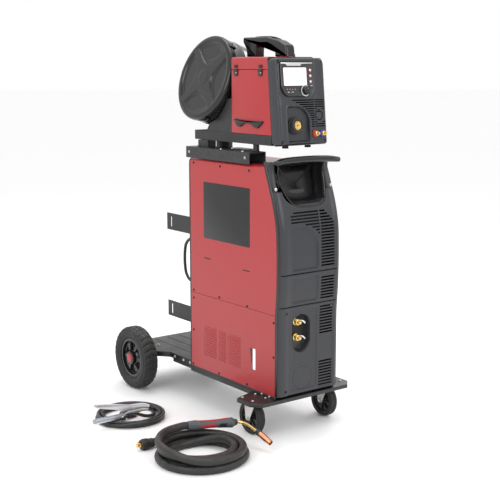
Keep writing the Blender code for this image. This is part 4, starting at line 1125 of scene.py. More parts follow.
        half, slots = 0.088, []
        for z in np.arange(0.800 - 0.084, 0.800 + 0.085, 0.0105):
            wide = math.sqrt(max(0.0, half**2 - (z - 0.800) ** 2))
            for low, high in ((-wide, -0.008), (0.008, wide)):
                if high - low > 0.012:
                    slots.append((low, high, z - 0.0028, z + 0.0028))
        for z in np.arange(0.300, 0.430, 0.0105):
            slots += [(-0.115, -0.065, z, z + 0.0055), (-0.055, -0.005, z, z + 0.0055)]
        span = (-self.half, self.half, self.floor + 0.001, self.roof)
        wall = moulding(span, face, -0.0075, slots, radius=self.corner, step=0.006)
        wall.build("rear_wall", BLACK_PAINT, CART, ("rear_panel",), bevel=0.0008)
        glands = []
        for x, z, radius, long in ((-0.118, 0.655, 0.010, 0.016), (-0.118, 0.490, 0.010, 0.016),
                                   (0.085, 0.245, 0.015, 0.030), (0.0, 0.245, 0.008, 0.022)):
            shape = [(0.0, 0.0), (radius * 1.25, 0.0), (radius * 1.25, 0.004), (radius, 0.005), (radius,
                long * 0.45),
                     (radius * 0.9, long * 0.55), (radius * 0.75, long), (0.0, long)]
            glands.append(lathe(shape, spot(x, 0.542, z), (0, 1, 0), 24))
            flats = disc(radius * 1.18, 6)
            glands.append(slab(flats, 0.546, 0.546 + long * 0.25, Plane.FRONT, 0.0006).moved(x, 0, z))
        join(glands).build("rear_glands", BLACK_PLASTIC, CART)
        plate = oblong((0.052, 0.868), (0.108, 0.932), 0.006)
        slab(plate, 0.5415, 0.5440, Plane.FRONT, 0.0008).build("switch_plate", SILVER, CART)
        screws("rear_screws", [(x, 0.542, z) for x in (-0.130, 0.130) for z in (0.170, 0.440, 0.700, 0.950)],
               (0, 1, 0), 0.0036, ZINC, CART)

    def build(self) -> None:
        """Builds the cabinet."""
        self.cover()
        for side, word in SIDES:
            self.lower_panel(side, word)
        self.dress()
        self.rear_wall()


@dataclass
class FrontMoulding:
    """The moulded front: three modules with louvres, the hand recess, and the handle across the top."""

    half: float = 0.1385
    proud: float = 0.018
    side_radius: float = 0.016
    seams: tuple[float, float] = (0.600, 0.482)
    bottom: float = 0.1540
    top: float = 0.895
    pitch: float = 0.0110
    bar_r: float = 0.0125
    recess: tuple[tuple[float, float], ...] = ((-0.106, 0.990), (-0.096, 0.905), (-0.060, 0.850), (0.012,
        0.838),
                                               (0.078, 0.850), (0.100, 0.905), (0.108, 0.990))

    def windows(self, low: float, high: float) -> list[tuple[float, float, float, float]]:
        """The louvre openings between two heights: the right column, and those round the arched panel."""
        found = []
        for z in np.arange(0.166, 0.818, self.pitch):
            if z < low + 0.012 or z + 0.006 > high - 0.010 or 0.262 < z < 0.358:
                continue
            right = 0.114 - max(0.0, z - 0.775) * 0.9
            found.append((0.052, right, z, z + 0.0062))
            if z > 0.7725:
                found.append((-0.083 + max(0.0, z - 0.806) * 1.5, 0.046, z, z + 0.0062))
            elif z > 0.706:
                arch = 0.042 - 0.070 + math.sqrt(max(0.0, 0.070**2 - (z - 0.697) ** 2))
                if arch + 0.009 < 0.040:
                    found.append((arch + 0.009, 0.046, z, z + 0.0062))
        return found

    def depth(self, x: np.ndarray, z: np.ndarray) -> np.ndarray:
        """The front's depth: the curved edge, a rolled column at each side, and the recessed panels."""
        face = front_edge(z) - self.proud + roll(self.half - np.abs(x), self.side_radius)
        face = face - 0.0035 * np.exp(-(((x + 0.112) / 0.016) ** 2))
        face = face - 0.0035 * np.exp(-(((x - 0.128) / 0.012) ** 2))
        panels = (((-0.081, 0.042, 0.612, 0.767), (0.004, 0.006, 0.070, 0.008), 0.0070),
                  ((-0.081, 0.042, 0.494, 0.588), (0.004, 0.006, 0.006, 0.004), 0.0050),
                  ((-0.081, 0.042, 0.166, 0.466), (0.004, 0.006, 0.006, 0.004), 0.0040))
        for span, radii, deep in panels:
            face = face + bowl(box_distance(x, z, span, radii), deep, 0.0045)
        face = face + bowl(box_distance(x, z, (0.049, 0.117, 0.160, 0.262), (0.004,) * 4), 0.0030, 0.003)
        face = face + bowl(box_distance(x, z, (-0.073, 0.011, 0.308, 0.449), (0.041,) * 4), 0.0260, 0.0070)
        ring = np.abs(np.hypot(x + 0.028, z - 0.212) - 0.044)
        return face + 0.0016 * (1 - smoothstep(ring, 0.0006, 0.0026))

    def module(self, name: str, low: float, high: float, replaces: Sequence[str]) -> None:
        """One module of the front between two heights."""
        def face(x: np.ndarray, z: np.ndarray) -> np.ndarray:
            """The front's depth, with its lower and upper rims rolled back a little."""
            inside = np.minimum(z - low, high - z)
            lip = self.depth(x, z) + roll(inside, 0.0025)
            bowl_gap = box_distance(x, z, (-0.104, 0.106, 0.846, 1.100), (0.055, 0.060, 0.01, 0.01))
            return lip + bowl(bowl_gap, 0.050, 0.010)

        shape = moulding((-self.half, self.half, low, high), face, 0.0045, self.windows(low, high),
                         step=0.0024)
        shape.build(name, GREY_PLASTIC, CART, replaces, angle=40)

    def backing(self) -> None:
        """A sheet of painted shade behind the louvres, near-black where the inside shows, and the black trim
        down the panels' front edge.
        """
        # Painted shade: a near-black sheet set just behind the louvre slots.
        z = np.linspace(self.bottom + 0.002, 0.835, 40)
        x = np.linspace(-0.132, 0.132, 4)
        grid_x, grid_z = np.meshgrid(x, z)
        sheet = stand(np.stack([grid_x, grid_z], -1), front_edge(grid_z) + 0.012, Plane.FRONT)
        skin(sheet).build("louvre_shade_sheet", PAINTED_SHADE, CART, thick=0.002)
        for side, word in SIDES:
            u, v = np.array((-0.0135, -0.0110, -0.0006)), np.linspace(self.bottom, 0.985, 90)
            trim = pierced(u, v, np.ones((89, 2), bool), lambda u, v, w: np.stack(
                [side * (0.1412 - w - 0.0016 * (u < -0.012)), FRONT_Y + front_edge(v) + u, v], -1), 0.006)
            trim.build(f"edge_trim_{word}", BLACK_PLASTIC, CART)

    def handle(self) -> None:
        """The bar across the top, its cheeks, and the black bowl behind it with a floor of painted shade."""
        x = np.linspace(-1, 1, 61)
        flare = np.abs(x) ** 6
        path = spots(np.stack([x * 0.1405, 0.0030 - 0.016 * flare,
                               1.0010 + 0.004 * (1 - x**2) - 0.002 * flare], -1))
        bar = tube(path, self.bar_r * (1 - 0.25 * flare), (0, 0, 1), 24, Ends.ROUND, wide=1.35)
        top = pierced(np.linspace(-1, 1, 31), np.linspace(0, 1, 10), np.ones((9, 30), bool), lambda u, v,
                      w: spots(
            np.stack([0.1370 * u, 0.004 + 0.0615 * v,
                      1.0090 - 0.0235 * v**1.6 - w - 0.006 * np.abs(u) ** 10], -1)),
            0.0075)
        join([bar, top]).build("front_handle_bar", BLACK_PLASTIC, CART, ("front_handle",), angle=50)
        for side, word in SIDES:
            z = np.linspace(self.top + 0.0008, 0.999, 34)
            u = np.linspace(0, 1, 13)

            def place(u: np.ndarray, v: np.ndarray, w: float) -> np.ndarray:
                """The cheek's skin: from the panel, round the front corner, and in to the bowl."""
                lift = (v - self.top) / 0.104
                front = front_edge(v) - self.proud - 0.020 * lift**3.0
                turn = np.clip(u * 1.6 - 0.15, 0, 1) * np.pi / 2
                radius = self.side_radius
                inner = np.clip((u - 0.72) / 0.28, 0, 1)
                across = self.half - radius + (radius - w) * np.cos(turn) - inner * (0.018 + 0.010 * lift)
                depth = front + radius - (radius - w) * np.sin(turn) + 0.030 * inner**2
                back = front_edge(v) - 0.0004
                depth = np.where(u < 0.094, back + (depth - back) * np.clip(u / 0.094, 0, 1), depth)
                return np.stack([side * across, FRONT_Y + depth, v], -1)

            pierced(u, z, np.ones((33, 12), bool), place, 0.003).build(
                f"handle_cheek_{word}", GREY_PLASTIC, CART, angle=50)
        outline = resample(np.array([(a, b, 0) for a, b in self.recess]), 0.006)[:, :2]
        z = outline[:, 1]
        levels = ((-0.0035, -0.0012), (0.0, -0.0024), (0.0025, 0.001), (0.006, 0.012), (0.012, 0.034),
                  (0.022, 0.046))
        rings = []
        for move, deep in levels:
            ring = inset(np.vstack([outline, [(0.108, 1.000), (-0.106, 1.000)]]), move)
            rings.append(stand(ring, front_edge(np.minimum(ring[:, 1], 0.960)) - self.proud + deep
                               - 0.010 * smoothstep(ring[:, 1], 0.93, 0.99), Plane.FRONT))
        loft(np.stack(rings), caps=False).build("hand_bowl", BLACK_PLASTIC, CART, thick=0.0012)
        # Painted shade: the bowl's floor is a near-black fill where the deep recess falls into shadow.
        back = rings[-1]
        centre = back.mean(0, keepdims=True)
        fill = np.stack([back, back * 0.5 + centre * 0.5, back * 0.01 + centre * 0.99])
        fill[1:, :, 1] += 0.006
        loft(fill, caps=False).build("hand_bowl_floor", PAINTED_SHADE, CART, thick=0.001)

    def couplings(self) -> None:
        """The two brass coolant couplings in their recess, with their levers, and the screws."""
        for word, z in (("upper", 0.419), ("lower", 0.361)):
            nose = [(0.0, 0.034), (0.0052, 0.034), (0.0060, 0.0325), (0.0060, 0.029), (0.0074, 0.0285),
                    (0.0074, 0.0235),
                    (0.0108, 0.0220), (0.0112, 0.0205), (0.0112, 0.0185), (0.0104, 0.0180), (0.0104, 0.0165),
                    (0.0112, 0.0160), (0.0112, 0.0110), (0.0138, 0.0090), (0.0138, 0.0), (0.0, 0.0)]
            lathe(nose, spot(-0.042, 0.0117, z), (0, -1, 0), 36).build(
                f"coolant_coupling_{word}_body", BRASS, CART, (f"coolant_coupling_{word}",), slot="brass")
            lever = spots([(-0.030, 0.004, z + 0.002), (-0.022, -0.004, z + 0.003), (-0.014, -0.009,
                z - 0.002),
                           (-0.010, -0.010, z - 0.007)])
            arm = tube(resample(lever, 0.001), 0.0019, (0, 1, 0.3), 12, Ends.ROUND, wide=1.7)
            foot = slab(disc(0.0085, 6), 0.0, 0.004, Plane.FRONT, 0.0005).moved(-0.033, 0.0085, z)
            join([arm, foot]).build(f"coolant_lever_{word}", ZINC, CART)
        screws("front_screws", [(-0.1040, -0.0235, 0.578), (-0.1050, -0.0215, 0.460), (-0.1070, -0.0215,
            0.171)],
               (0, -1, 0), 0.0042, BLACK_PLASTIC, CART)
        screws("handle_screw", [(-0.1280, 0.0155, 0.9050), (0.1280, 0.0155, 0.9050)], (-0.15, -1, 0.1),
               0.0042, ZINC, CART)

    def build(self) -> None:
        """Builds the front."""
        self.module("front_module_upper", self.seams[0] + 0.0010, self.top, ("front_upper",))
        self.module("front_module_middle", self.seams[1] + 0.0010, self.seams[0] - 0.0010, ("front_lower",))
        self.module("front_module_lower", self.bottom, self.seams[1] - 0.0010, ())
        self.backing()
        self.handle()
        self.couplings()


FASCIA_FOOT = spot(0.0, 0.012, FASCIA_FOOT_Z)
LEAN = Matrix.Translation(Vector(FASCIA_FOOT)) @ Matrix.Rotation(-FASCIA_LEAN, 4, "X") @ Matrix.Translation(
    -Vector(FASCIA_FOOT))


@dataclass
class FeederFront:
    """The wire feeder's leaning front: its face, screen, knob, buttons, torch socket and couplings."""

    near: float = 0.012
    thick: float = 0.048
    left: float = -0.109
    right: float = 0.1115
    low: float = 1.055
    high: float = 1.363
    rim: float = 0.013

    def depth(self, x: np.ndarray, z: np.ndarray) -> np.ndarray:
        """The face's depth: a rolled rim, a raised left column, the screen's bed and the socket's arch."""
        border = -box_distance(x, z, (self.left, self.right, self.low, self.high), (0.010, 0.010, 0.026,
            0.014))
        face = self.near + roll(np.maximum(border, 0), self.rim)
        face = face + 0.0030 * smoothstep(z, 1.195, 1.225) * smoothstep(-np.abs(x + 0.022), -0.095,
            -0.074) * 0.6
        screen = box_distance(x, z, (-0.095, 0.053, 1.226, 1.349), (0.034, 0.034, 0.005, 0.005))
        face = face + bowl(screen, 0.0022, 0.0025)
        brow = np.abs(screen - 0.007)
        face = face - 0.0016 * (1 - smoothstep(brow, 0.0, 0.006)) * (1 - smoothstep(z, 1.255, 1.30))
        arch = box_distance(x, z, (-0.070, 0.032, 1.066, 1.193), (0.006, 0.006, 0.060, 0.010))
        face = face + bowl(arch, 0.0137, 0.0055)
        face = face - 0.0014 * (1 - smoothstep(np.abs(arch - 0.0035), 0.0, 0.0035))
        grille = np.hypot(x - 0.076, z - 1.159)
        face = face + bowl(grille - 0.024, 0.0030, 0.0030) - bowl(grille - 0.0125, 0.0030, 0.003)
        corner = np.min([np.hypot(x - a, z - b) for a, b in ((-0.097, 1.349), (0.0985, 1.349),
                                                             (-0.097, 1.068),
                                                           (0.099, 1.068))], axis=0)
        return face + bowl(corner - 0.0070, 0.0040, 0.0025)

    def louvres(self) -> list[tuple[float, float, float, float]]:
        """The openings beside the arch, broken by the round grille, and those inside the grille."""
        found = []
        for z in np.arange(1.118, 1.215, 0.0078):
            arch = 0.036 if z < 1.140 else 0.036 - (z - 1.140) ** 2 * 16.0
            half = math.sqrt(max(0.0, 0.0262**2 - (z + 0.0020 - 1.159) ** 2))
            for low, high in ((arch, 0.052), (0.0545, 0.076 - half), (0.076 + half, 0.100)) if half else (
                    (arch, 0.052), (0.0545, 0.100)):
                if high - low > 0.0035:
                    found.append((low, high, z, z + 0.0040))
        for z in np.arange(1.1415, 1.177, 0.0058):
            half = math.sqrt(max(0.0, 0.0200**2 - (z + 0.0016 - 1.159) ** 2))
            inner = math.sqrt(max(0.0, 0.0130**2 - (z + 0.0016 - 1.159) ** 2))
            spans = ((0.076 - half, 0.076 - inner), (0.076 + inner, 0.076 + half)) if inner else (
                (0.076 - half, 0.076 + half),)
            found += [(low, high, z, z + 0.0032) for low, high in spans if high - low > 0.002]
        return found

    def screen(self) -> None:
        """The black display panel with its lit screen, its plain digits and the silver strip above."""
        near = self.near - 0.0001
        corners = [(-0.094, 1.347, 0.004), (-0.0935, 1.262, 0.020), (-0.074, 1.2275, 0.030), (0.032, 1.2275,
            0.030),
                   (0.0505, 1.262, 0.020), (0.052, 1.347, 0.004)]
        slab(rounded(corners, 0.01), near, near - 0.0023, Plane.FRONT, 0.0008).mapped(LEAN).build(
            "display_panel", GLASS, FEEDER, ("feeder_display",))
        face = near - 0.0023
        glass = oblong((-0.081, 1.265), (0.022, 1.327), 0.003)
        slab(inset(glass, -0.0013), face + 0.0004, face - 0.0002, Plane.FRONT, 0.0001).mapped(LEAN).build(
            "screen_frame", RED_PLASTIC, FEEDER)
        slab(glass, face + 0.0003, face - 0.0005, Plane.FRONT, 0.0002).mapped(LEAN).build("screen", SCREEN,
            FEEDER)
        strip = rounded([(-0.092, 1.345), (-0.092, 1.3415), (-0.070, 1.3405), (-0.064, 1.3335), (-0.004,
            1.3335),
                         (0.002, 1.3405), (0.0505, 1.3415), (0.0505, 1.345)], 0.0006, 2)
        slab(strip, face + 0.0002, face - 0.0004, Plane.FRONT, 0.0001).mapped(LEAN).build("silver_strip",
            SILVER, FEEDER)
        bars = []
        shown = {"0": "abcdef", "2": "abged", "5": "afgcd"}
        for digit, left, low, tall in (("2", -0.0755, 1.3035, 0.0160), ("2", -0.0640, 1.3035, 0.0160),
                                       ("5", -0.0525, 1.3035, 0.0160), ("2", -0.0300, 1.3035, 0.0160),
                                       ("5", -0.0185, 1.3035, 0.0160), ("0", -0.0070, 1.3035, 0.0160),
                                       ("5", -0.0050, 1.2790, 0.0120), ("0", 0.0040, 1.2790, 0.0120)):
            wide, w = tall * 0.50, 0.0013
            places = {"a": (0, tall, 1), "g": (0, tall / 2, 1), "d": (0, 0, 1), "f": (0, tall / 2, 0),
                      "b": (wide, tall / 2, 0), "e": (0, 0, 0), "c": (wide, 0, 0)}
            for key in shown[digit]:
                x, z, lying = places[key]
                size = (wide - 0.0012, w) if lying else (w, tall / 2 - 0.0012)
                x0, z0 = left + x + (0.0006 if lying else -w / 2), low + z + (-w / 2 if lying else 0.0006)
                box = [(x0, z0), (x0 + size[0], z0), (x0 + size[0], z0 + size[1]), (x0, z0 + size[1])]
                bars.append(slab(rounded(box, 0.0004, 1), face - 0.0003, face - 0.0007, Plane.FRONT))
        join(bars).mapped(LEAN).build("screen_digits", SEGMENT, FEEDER)
        marks = [slab(disc(0.0014, 10, (x, 1.252)), face + 0.0002, face - 0.0003, Plane.FRONT)
                 for x in (-0.068, -0.056, -0.044, -0.032)]
        tick = oblong((-0.0042, -0.0012), (0.0042, 0.0012), 0.0004, 1)
        marks += [slab(tick, face + 0.0002, face - 0.0003, Plane.FRONT).moved(x, 0, z)
                  for x, z in ((-0.062, 1.242), (-0.044, 1.242), (0.0300, 1.2580), (0.044, 1.2640))]
        join(marks).mapped(LEAN).build("panel_marks", SILVER, FEEDER)

    def controls(self) -> None:
        """The knob in its silver ring and the three buttons."""
        front = self.near - 0.0026
        ring = [(0.0162, 0.0), (0.0200, 0.0), (0.0200, 0.0016), (0.0188, 0.0026), (0.0170, 0.0026), (0.0162,
            0.0018)]
        lathe(ring, spot(0.014, front, 1.247), (0, -1, 0), 48).mapped(LEAN).build("knob_ring", SILVER, FEEDER)
        turn = np.linspace(0, 2 * np.pi, 96, endpoint=False)
        rows = [(0.0, 0.0156), (0.0095, 0.0156), (0.0110, 0.0162), (0.0128, 0.0160), (0.0138, 0.0148),
                (0.0146, 0.0120),
                (0.0155, 0.0040), (0.0157, 0.0005), (0.0, 0.0005)]
        rings = [np.stack([np.cos(turn) * r * (1 + 0.018 * np.cos(24 * turn) * (0.003 < h < 0.0150)),
                           np.sin(turn) * r * (1 + 0.018 * np.cos(24 * turn) * (0.003 < h < 0.0150)),
                           np.full(96, h)], -1) for r, h in rows]
        cap = loft(np.stack(rings), caps=False).mapped(aimed([(0.014, front, 1.247)], (0, -1,
            0))[0]).mapped(LEAN)
        cap.build("knob_cap", BLACK_PLASTIC, "knob", ("encoder_knob",))
        mark = slab(oblong((-0.0006, 0.003), (0.0006, 0.0085), 0.0003, 1),
                    front - 0.0154, front - 0.0159, Plane.FRONT).moved(0.014, 0, 1.247)
        mark.mapped(LEAN).build("knob_mark", SILVER, "knob")
        for number, (z, word) in enumerate(((1.318, "top"), (1.298, "middle"), (1.278, "bottom"))):
            shape = [(0.0, 0.0033), (0.0036, 0.0032), (0.0047, 0.0026), (0.0050, 0.0016), (0.0050, 0.0),
                     (0.0, 0.0)]
            lathe(shape, spot(0.038, front - 0.0011, z), (0, -1, 0), 28).mapped(LEAN).build(
                f"button_{word}_cap", SILVER, f"button_{word}", (f"button_{number + 1}",))
            rim = [(0.0054, 0.0), (0.0066, 0.0), (0.0066, 0.0008), (0.0054, 0.0008)]
            lathe(rim, spot(0.038, front + 0.0002, z), (0, -1, 0), 28).mapped(LEAN).build(
                f"button_{word}_ring", RED_PLASTIC, FEEDER)

    def socket(self) -> None:
        """The torch socket: a threaded black ring round brass contacts, and the two coloured couplings."""
        floor = self.near + 0.0137
        turns = np.linspace(0.0075, 0.0225, 31)
        thread = [(0.0260 + (0.0012 if index % 2 else 0.0), h) for index, h in enumerate(turns)]
        shell = [(0.0190, 0.0240), (0.0245, 0.0245), *reversed(thread), (0.0305, 0.0060), (0.0310, 0.0045),
                 (0.0310, 0.0002), (0.0165, 0.0002), (0.0165, 0.0225)]
        lathe(shell, spot(-0.031, floor, 1.125), (0, -1, 0), 56).mapped(LEAN).build(
            "torch_socket_shell", RUBBER, FEEDER, ("euro_socket",), slot="black_plastic")
        core = [(0.0, 0.0080), (0.0030, 0.0080), (0.0030, 0.0170), (0.0095, 0.0175), (0.0105, 0.0185),
                (0.0150, 0.0190),
                (0.0160, 0.0180), (0.0160, 0.0004), (0.0, 0.0004)]
        pins = [lathe([(0.0, 0.0215), (0.0018, 0.0212), (0.0020, 0.0200), (0.0020, 0.0180), (0.0, 0.0180)],
                      spot(-0.031 + x, floor, 1.125 + z), (0, -1, 0), 16) for x, z in ((-0.0090, 0.0),
                          (0.0090, 0.0),
                                                                                     (0.0, 0.0115))]
        join([lathe(core, spot(-0.031, floor, 1.125), (0, -1, 0), 48), *pins]).mapped(LEAN).build(
            "torch_socket_core", BRASS, FEEDER)
        for word, x, finish in (("red", 0.050, RED_PLASTIC), ("blue", 0.083, BLUE_PLASTIC)):
            nose = [(0.0, 0.0260), (0.0030, 0.0260), (0.0046, 0.0250), (0.0046, 0.0215), (0.0056, 0.0205),
                    (0.0056, 0.0160), (0.0080, 0.0150), (0.0080, 0.0115), (0.0072, 0.0110), (0.0072, 0.0095),
                    (0.0080, 0.0090), (0.0080, 0.0060), (0.0, 0.0060)]
            lathe(nose, spot(x, self.near, 1.094), (0, -1, 0), 32).mapped(LEAN).build(
                f"coupling_{word}_nose", BRASS, FEEDER, (f"coupling_{word}",))
            ring = [(0.0084, 0.0002), (0.0125, 0.0002), (0.0125, 0.0050), (0.0112, 0.0062), (0.0084, 0.0062)]
            lathe(ring, spot(x, self.near, 1.094), (0, -1, 0), 40).mapped(LEAN).build(
                f"coupling_{word}_ring", finish, FEEDER, slot="brass")

    def build(self) -> None:
        """Builds the whole front."""
        span = (self.left, self.right, self.low, self.high)
        moulding(span, self.depth, self.thick - self.rim, self.louvres(), radius=0.014,
                 step=0.0019).mapped(LEAN).build(
            "feeder_face", GREY_PLASTIC, FEEDER, ("feeder_fascia",), angle=44)
        # Painted shade: a near-black pad set behind the feeder's louvre slots.
        pad = oblong((0.034, 1.108), (0.104, 1.218), 0.004)
        slab(pad, self.near + 0.020, self.near + 0.0205, Plane.FRONT).mapped(LEAN).build(
            "feeder_louvre_backing", PAINTED_SHADE, FEEDER)
        self.screen()
        self.controls()
        self.socket()
        points = [spot(x, self.near + 0.0035 + extra, z) for x, z, extra in (
            (-0.097, 1.349, 0.0012), (0.0985, 1.349, 0.0016), (-0.097, 1.068, 0.0008), (0.099, 1.068,
                0.0010))]
        heads = screw_head(0.0042, 0.0026).copies([LEAN @ Matrix.Translation(Vector(p)) @ axis_turn((0, -1,
            0))
                                                  for p in points])
        heads.build("feeder_face_screws", BLACK_PLASTIC, FEEDER)
        stud = lathe([(0.0, 0.0115), (0.0030, 0.0115), (0.0042, 0.0100), (0.0042, 0.0070), (0.0026, 0.0060),
                      (0.0026, 0.0), (0.0, 0.0)], spot(0.1055, 0.113, 1.268), (1, 0, 0), 24)
        stud.build("side_stud", BLACK_PLASTIC, FEEDER)


@dataclass
class FeederCase:
    """The feeder's red hood and door, its hinges and pull, its feet and its carry handle."""

    left: float = -0.108
    right: float = 0.1055
    top: float = 1.364
    rear: float = 0.3052
    bottom: float = 1.0885
    hinge_z: float = 1.3205
    sheet: float = 0.002
    corner: float = 0.010

    def front(self, z: np.ndarray) -> np.ndarray:
        """The depth of the leaning front block's rear face."""
        return 0.0624 + (z - FASCIA_FOOT_Z) * math.tan(FASCIA_LEAN)

    def hood(self) -> None:
        """The hood: a J section over the top and down the right side."""
        bend = self.corner * math.pi / 2
        drop = self.top - self.corner
        stops = np.cumsum([0, drop - self.hinge_z, bend, self.right - self.left - 2 * self.corner, bend,
                           drop - self.bottom])
        u = np.unique(np.concatenate([np.linspace(a, b, n) for a, b, n in zip(stops[:-1], stops[1:],
            (4, 9, 8, 9, 20))]))

        def place(u: np.ndarray, v: np.ndarray, w: float) -> np.ndarray:
            """Stands the sheet round its section."""
            first = np.clip((u - stops[1]) / self.corner, 0, math.pi / 2)
            second = np.clip((u - stops[3]) / self.corner, 0, math.pi / 2)
            flat = np.clip(u - stops[2], 0, stops[3] - stops[2])
            radius = self.corner - w
            x = self.left + self.corner - radius * np.cos(first) + flat + radius * np.sin(second)
            z = (drop - np.maximum(stops[1] - u, 0) + radius * np.sin(first) - radius * (1 - np.cos(second))
                 - np.maximum(u - stops[4], 0))
            front = self.front(z) + 0.0004
            return np.stack([x, FRONT_Y + front + v * (self.rear - front), z], -1)

        kept = np.ones((6, len(u) - 1), bool)
        pierced(u, np.linspace(0, 1, 7), kept, place, self.sheet).build("hood_sheet", RED_PAINT, FEEDER,
            ("feeder_hood",),
                                                                       bevel=0.0006)
        # Painted shade: the vents are thin near-black slabs on the hood, not openings.
        vents = [slab(oblong((d, z), (d + 0.052, z + 0.004), 0.0018),
                      self.right + 0.0001, self.right + 0.0005, Plane.SIDE, 0.0002)
                 for d in (0.110, 0.176) for z in np.arange(1.150, 1.215, 0.009)]
        join(vents).build("hood_vents", PAINTED_SHADE, FEEDER)
        screws("hood_screws", [(self.right, d, z) for d in (0.100, 0.290) for z in (1.105, 1.330)], (1, 0,
            0), 0.0034,
               BLACK_PLASTIC, FEEDER)

    def door(self) -> None:
        """The door with its pressed rim, its two hinges and the pull."""
        low, high = self.bottom + 0.0012, self.hinge_z - 0.0018
        edge = rounded([(self.front(low) + 0.0012, low, 0.002), (self.rear - 0.0008, low, 0.002),
                        (self.rear - 0.0008, high, 0.002), (self.front(high) + 0.0012, high, 0.002)], 0.002)
        slab(edge, self.left + self.sheet - 0.0003, self.left, Plane.SIDE, 0.0007).build(
            "door_sheet", RED_PAINT, "side_door", ("feeder_door",))
        for number, depth in enumerate((0.130, 0.276)):
            knuckle = tube(spots([(self.left - 0.0025, depth - 0.012, 1.3165), (self.left - 0.0025,
                depth + 0.012, 1.3165)]),
                           0.0035, (0, 0, 1), 20)
            leaf = rounded([(depth - 0.010, 1.2960), (depth + 0.010, 1.2960), (depth + 0.013, 1.3140),
                            (depth + 0.010, 1.3165),
                            (depth - 0.010, 1.3165), (depth - 0.013, 1.3140)], 0.0015)
            plate = slab(leaf, self.left - 0.0002, self.left - 0.0032, Plane.SIDE, 0.0010)
            join([knuckle, plate]).build(f"hinge_lower_{number}", BLACK_PLASTIC, "side_door")
            cap = rounded([(depth - 0.009, 1.3245), (depth + 0.009, 1.3245), (depth + 0.010, 1.3360),
                           (depth - 0.010, 1.3360)],
                          0.002)
            slab(cap, self.left - 0.0002, self.left - 0.0034, Plane.SIDE, 0.0010).build(
                f"hinge_upper_{number}", BLACK_PLASTIC, FEEDER)
            lathe([(0.0, 0.0022), (0.0018, 0.0018), (0.0026, 0.0006), (0.0026, 0.0), (0.0, 0.0)],
                  spot(self.left - 0.0031, depth - 0.004, 1.3075), (-1, 0, 0), 20).build(
                f"hinge_stud_{number}", SILVER, "side_door", slot="zinc")
        grip = [(0.287, 1.1415, 0.003), (0.264, 1.1150, 0.006), (0.246, 1.1130, 0.006), (0.228, 1.1240,
            0.008),
                (0.206, 1.1285, 0.010), (0.178, 1.1240, 0.008), (0.158, 1.1130, 0.006), (0.140, 1.1120,
                    0.006),
                (0.106, 1.1385, 0.003), (0.200, 1.1345, 0.05)]
        outline = rounded(grip, 0.005)
        slab(outline, self.left - 0.0003, self.left - 0.0083, Plane.SIDE, 0.0030).build(
            "door_grip", BLACK_PLASTIC, "door_latch", ("door_pull",))

    def carry_handle(self) -> None:
        """The carry handle: a flattened arch carried along its path, with two feet on the hood."""
        outer = [(0.0920, 1.3644, 0.002), (0.1600, 1.3644, 0.003), (0.1610, 1.3830, 0.010), (0.1760, 1.4010,
            0.016),
                 (0.2020, 1.4105, 0.020), (0.2560, 1.4105, 0.012), (0.2700, 1.4020, 0.010), (0.2730, 1.3644,
                     0.003),
                 (0.3290, 1.3644, 0.003), (0.3320, 1.3920, 0.020), (0.3530, 1.4190, 0.004), (0.3510, 1.4365,
                     0.004),
                 (0.2120, 1.4365, 0.080), (0.1400, 1.4220, 0.060), (0.0980, 1.4040, 0.014)]
        shape = rounded(outer, 0.008, 6)
        body = slab(shape, -0.0215, 0.0215, Plane.SIDE, 0.0075, both=True)
        body.build("carry_handle_arch", BLACK_PLASTIC, FEEDER, ("carry_handle",), angle=50)
        pad = resample(np.array([(0.0, 0.148, 1.4265), (0.0, 0.190, 1.4345), (0.0, 0.240, 1.4372), (0.0,
            0.300, 1.4372)]), 0.004)
        path = pad + np.array((0.0, FRONT_Y, 0.0))
        taper = np.sin(np.linspace(0.05, np.pi - 0.05, len(path))) ** 0.3
        tube(path, 0.0028 * taper, (1, 0, 0), 18, wide=1.0).build(
            "handle_ridge", DARK_PLASTIC, FEEDER)
        screws("handle_bolts", [(x, d, 1.3640) for x in (-0.030, 0.030) for d in (0.110, 0.300)], (0, 0, 1),
               0.0040,
               BLACK_PLASTIC, FEEDER)

    def base(self) -> None:
        """The feeder's feet: rubber bobbins with a narrow waist."""
        for number, (x, depth, foot, top) in enumerate(((-0.100, 0.395, 1.0265, 1.053), (-0.100, 0.165,
            1.0265, 1.053),
                                                       (-0.030, 0.085, 1.040, 1.053), (0.075, 0.085, 1.040,
                                                           1.053))):
            tall = top - foot
            shape = [(0.0, 0.0), (0.0112, 0.0), (0.0118, 0.002), (0.0118, 0.005), (0.0111, 0.007),
                     (0.0111, tall - 0.002), (0.0125, tall - 0.0005), (0.0, tall - 0.0005)]
            lathe(shape, spot(x, depth, foot + 0.0001), (0, 0, 1), 32).build(f"feeder_foot_{number}", RUBBER,
                FEEDER)

    def build(self) -> None:
        """Builds the case."""
        self.hood()
        self.door()
        self.carry_handle()
        self.base()


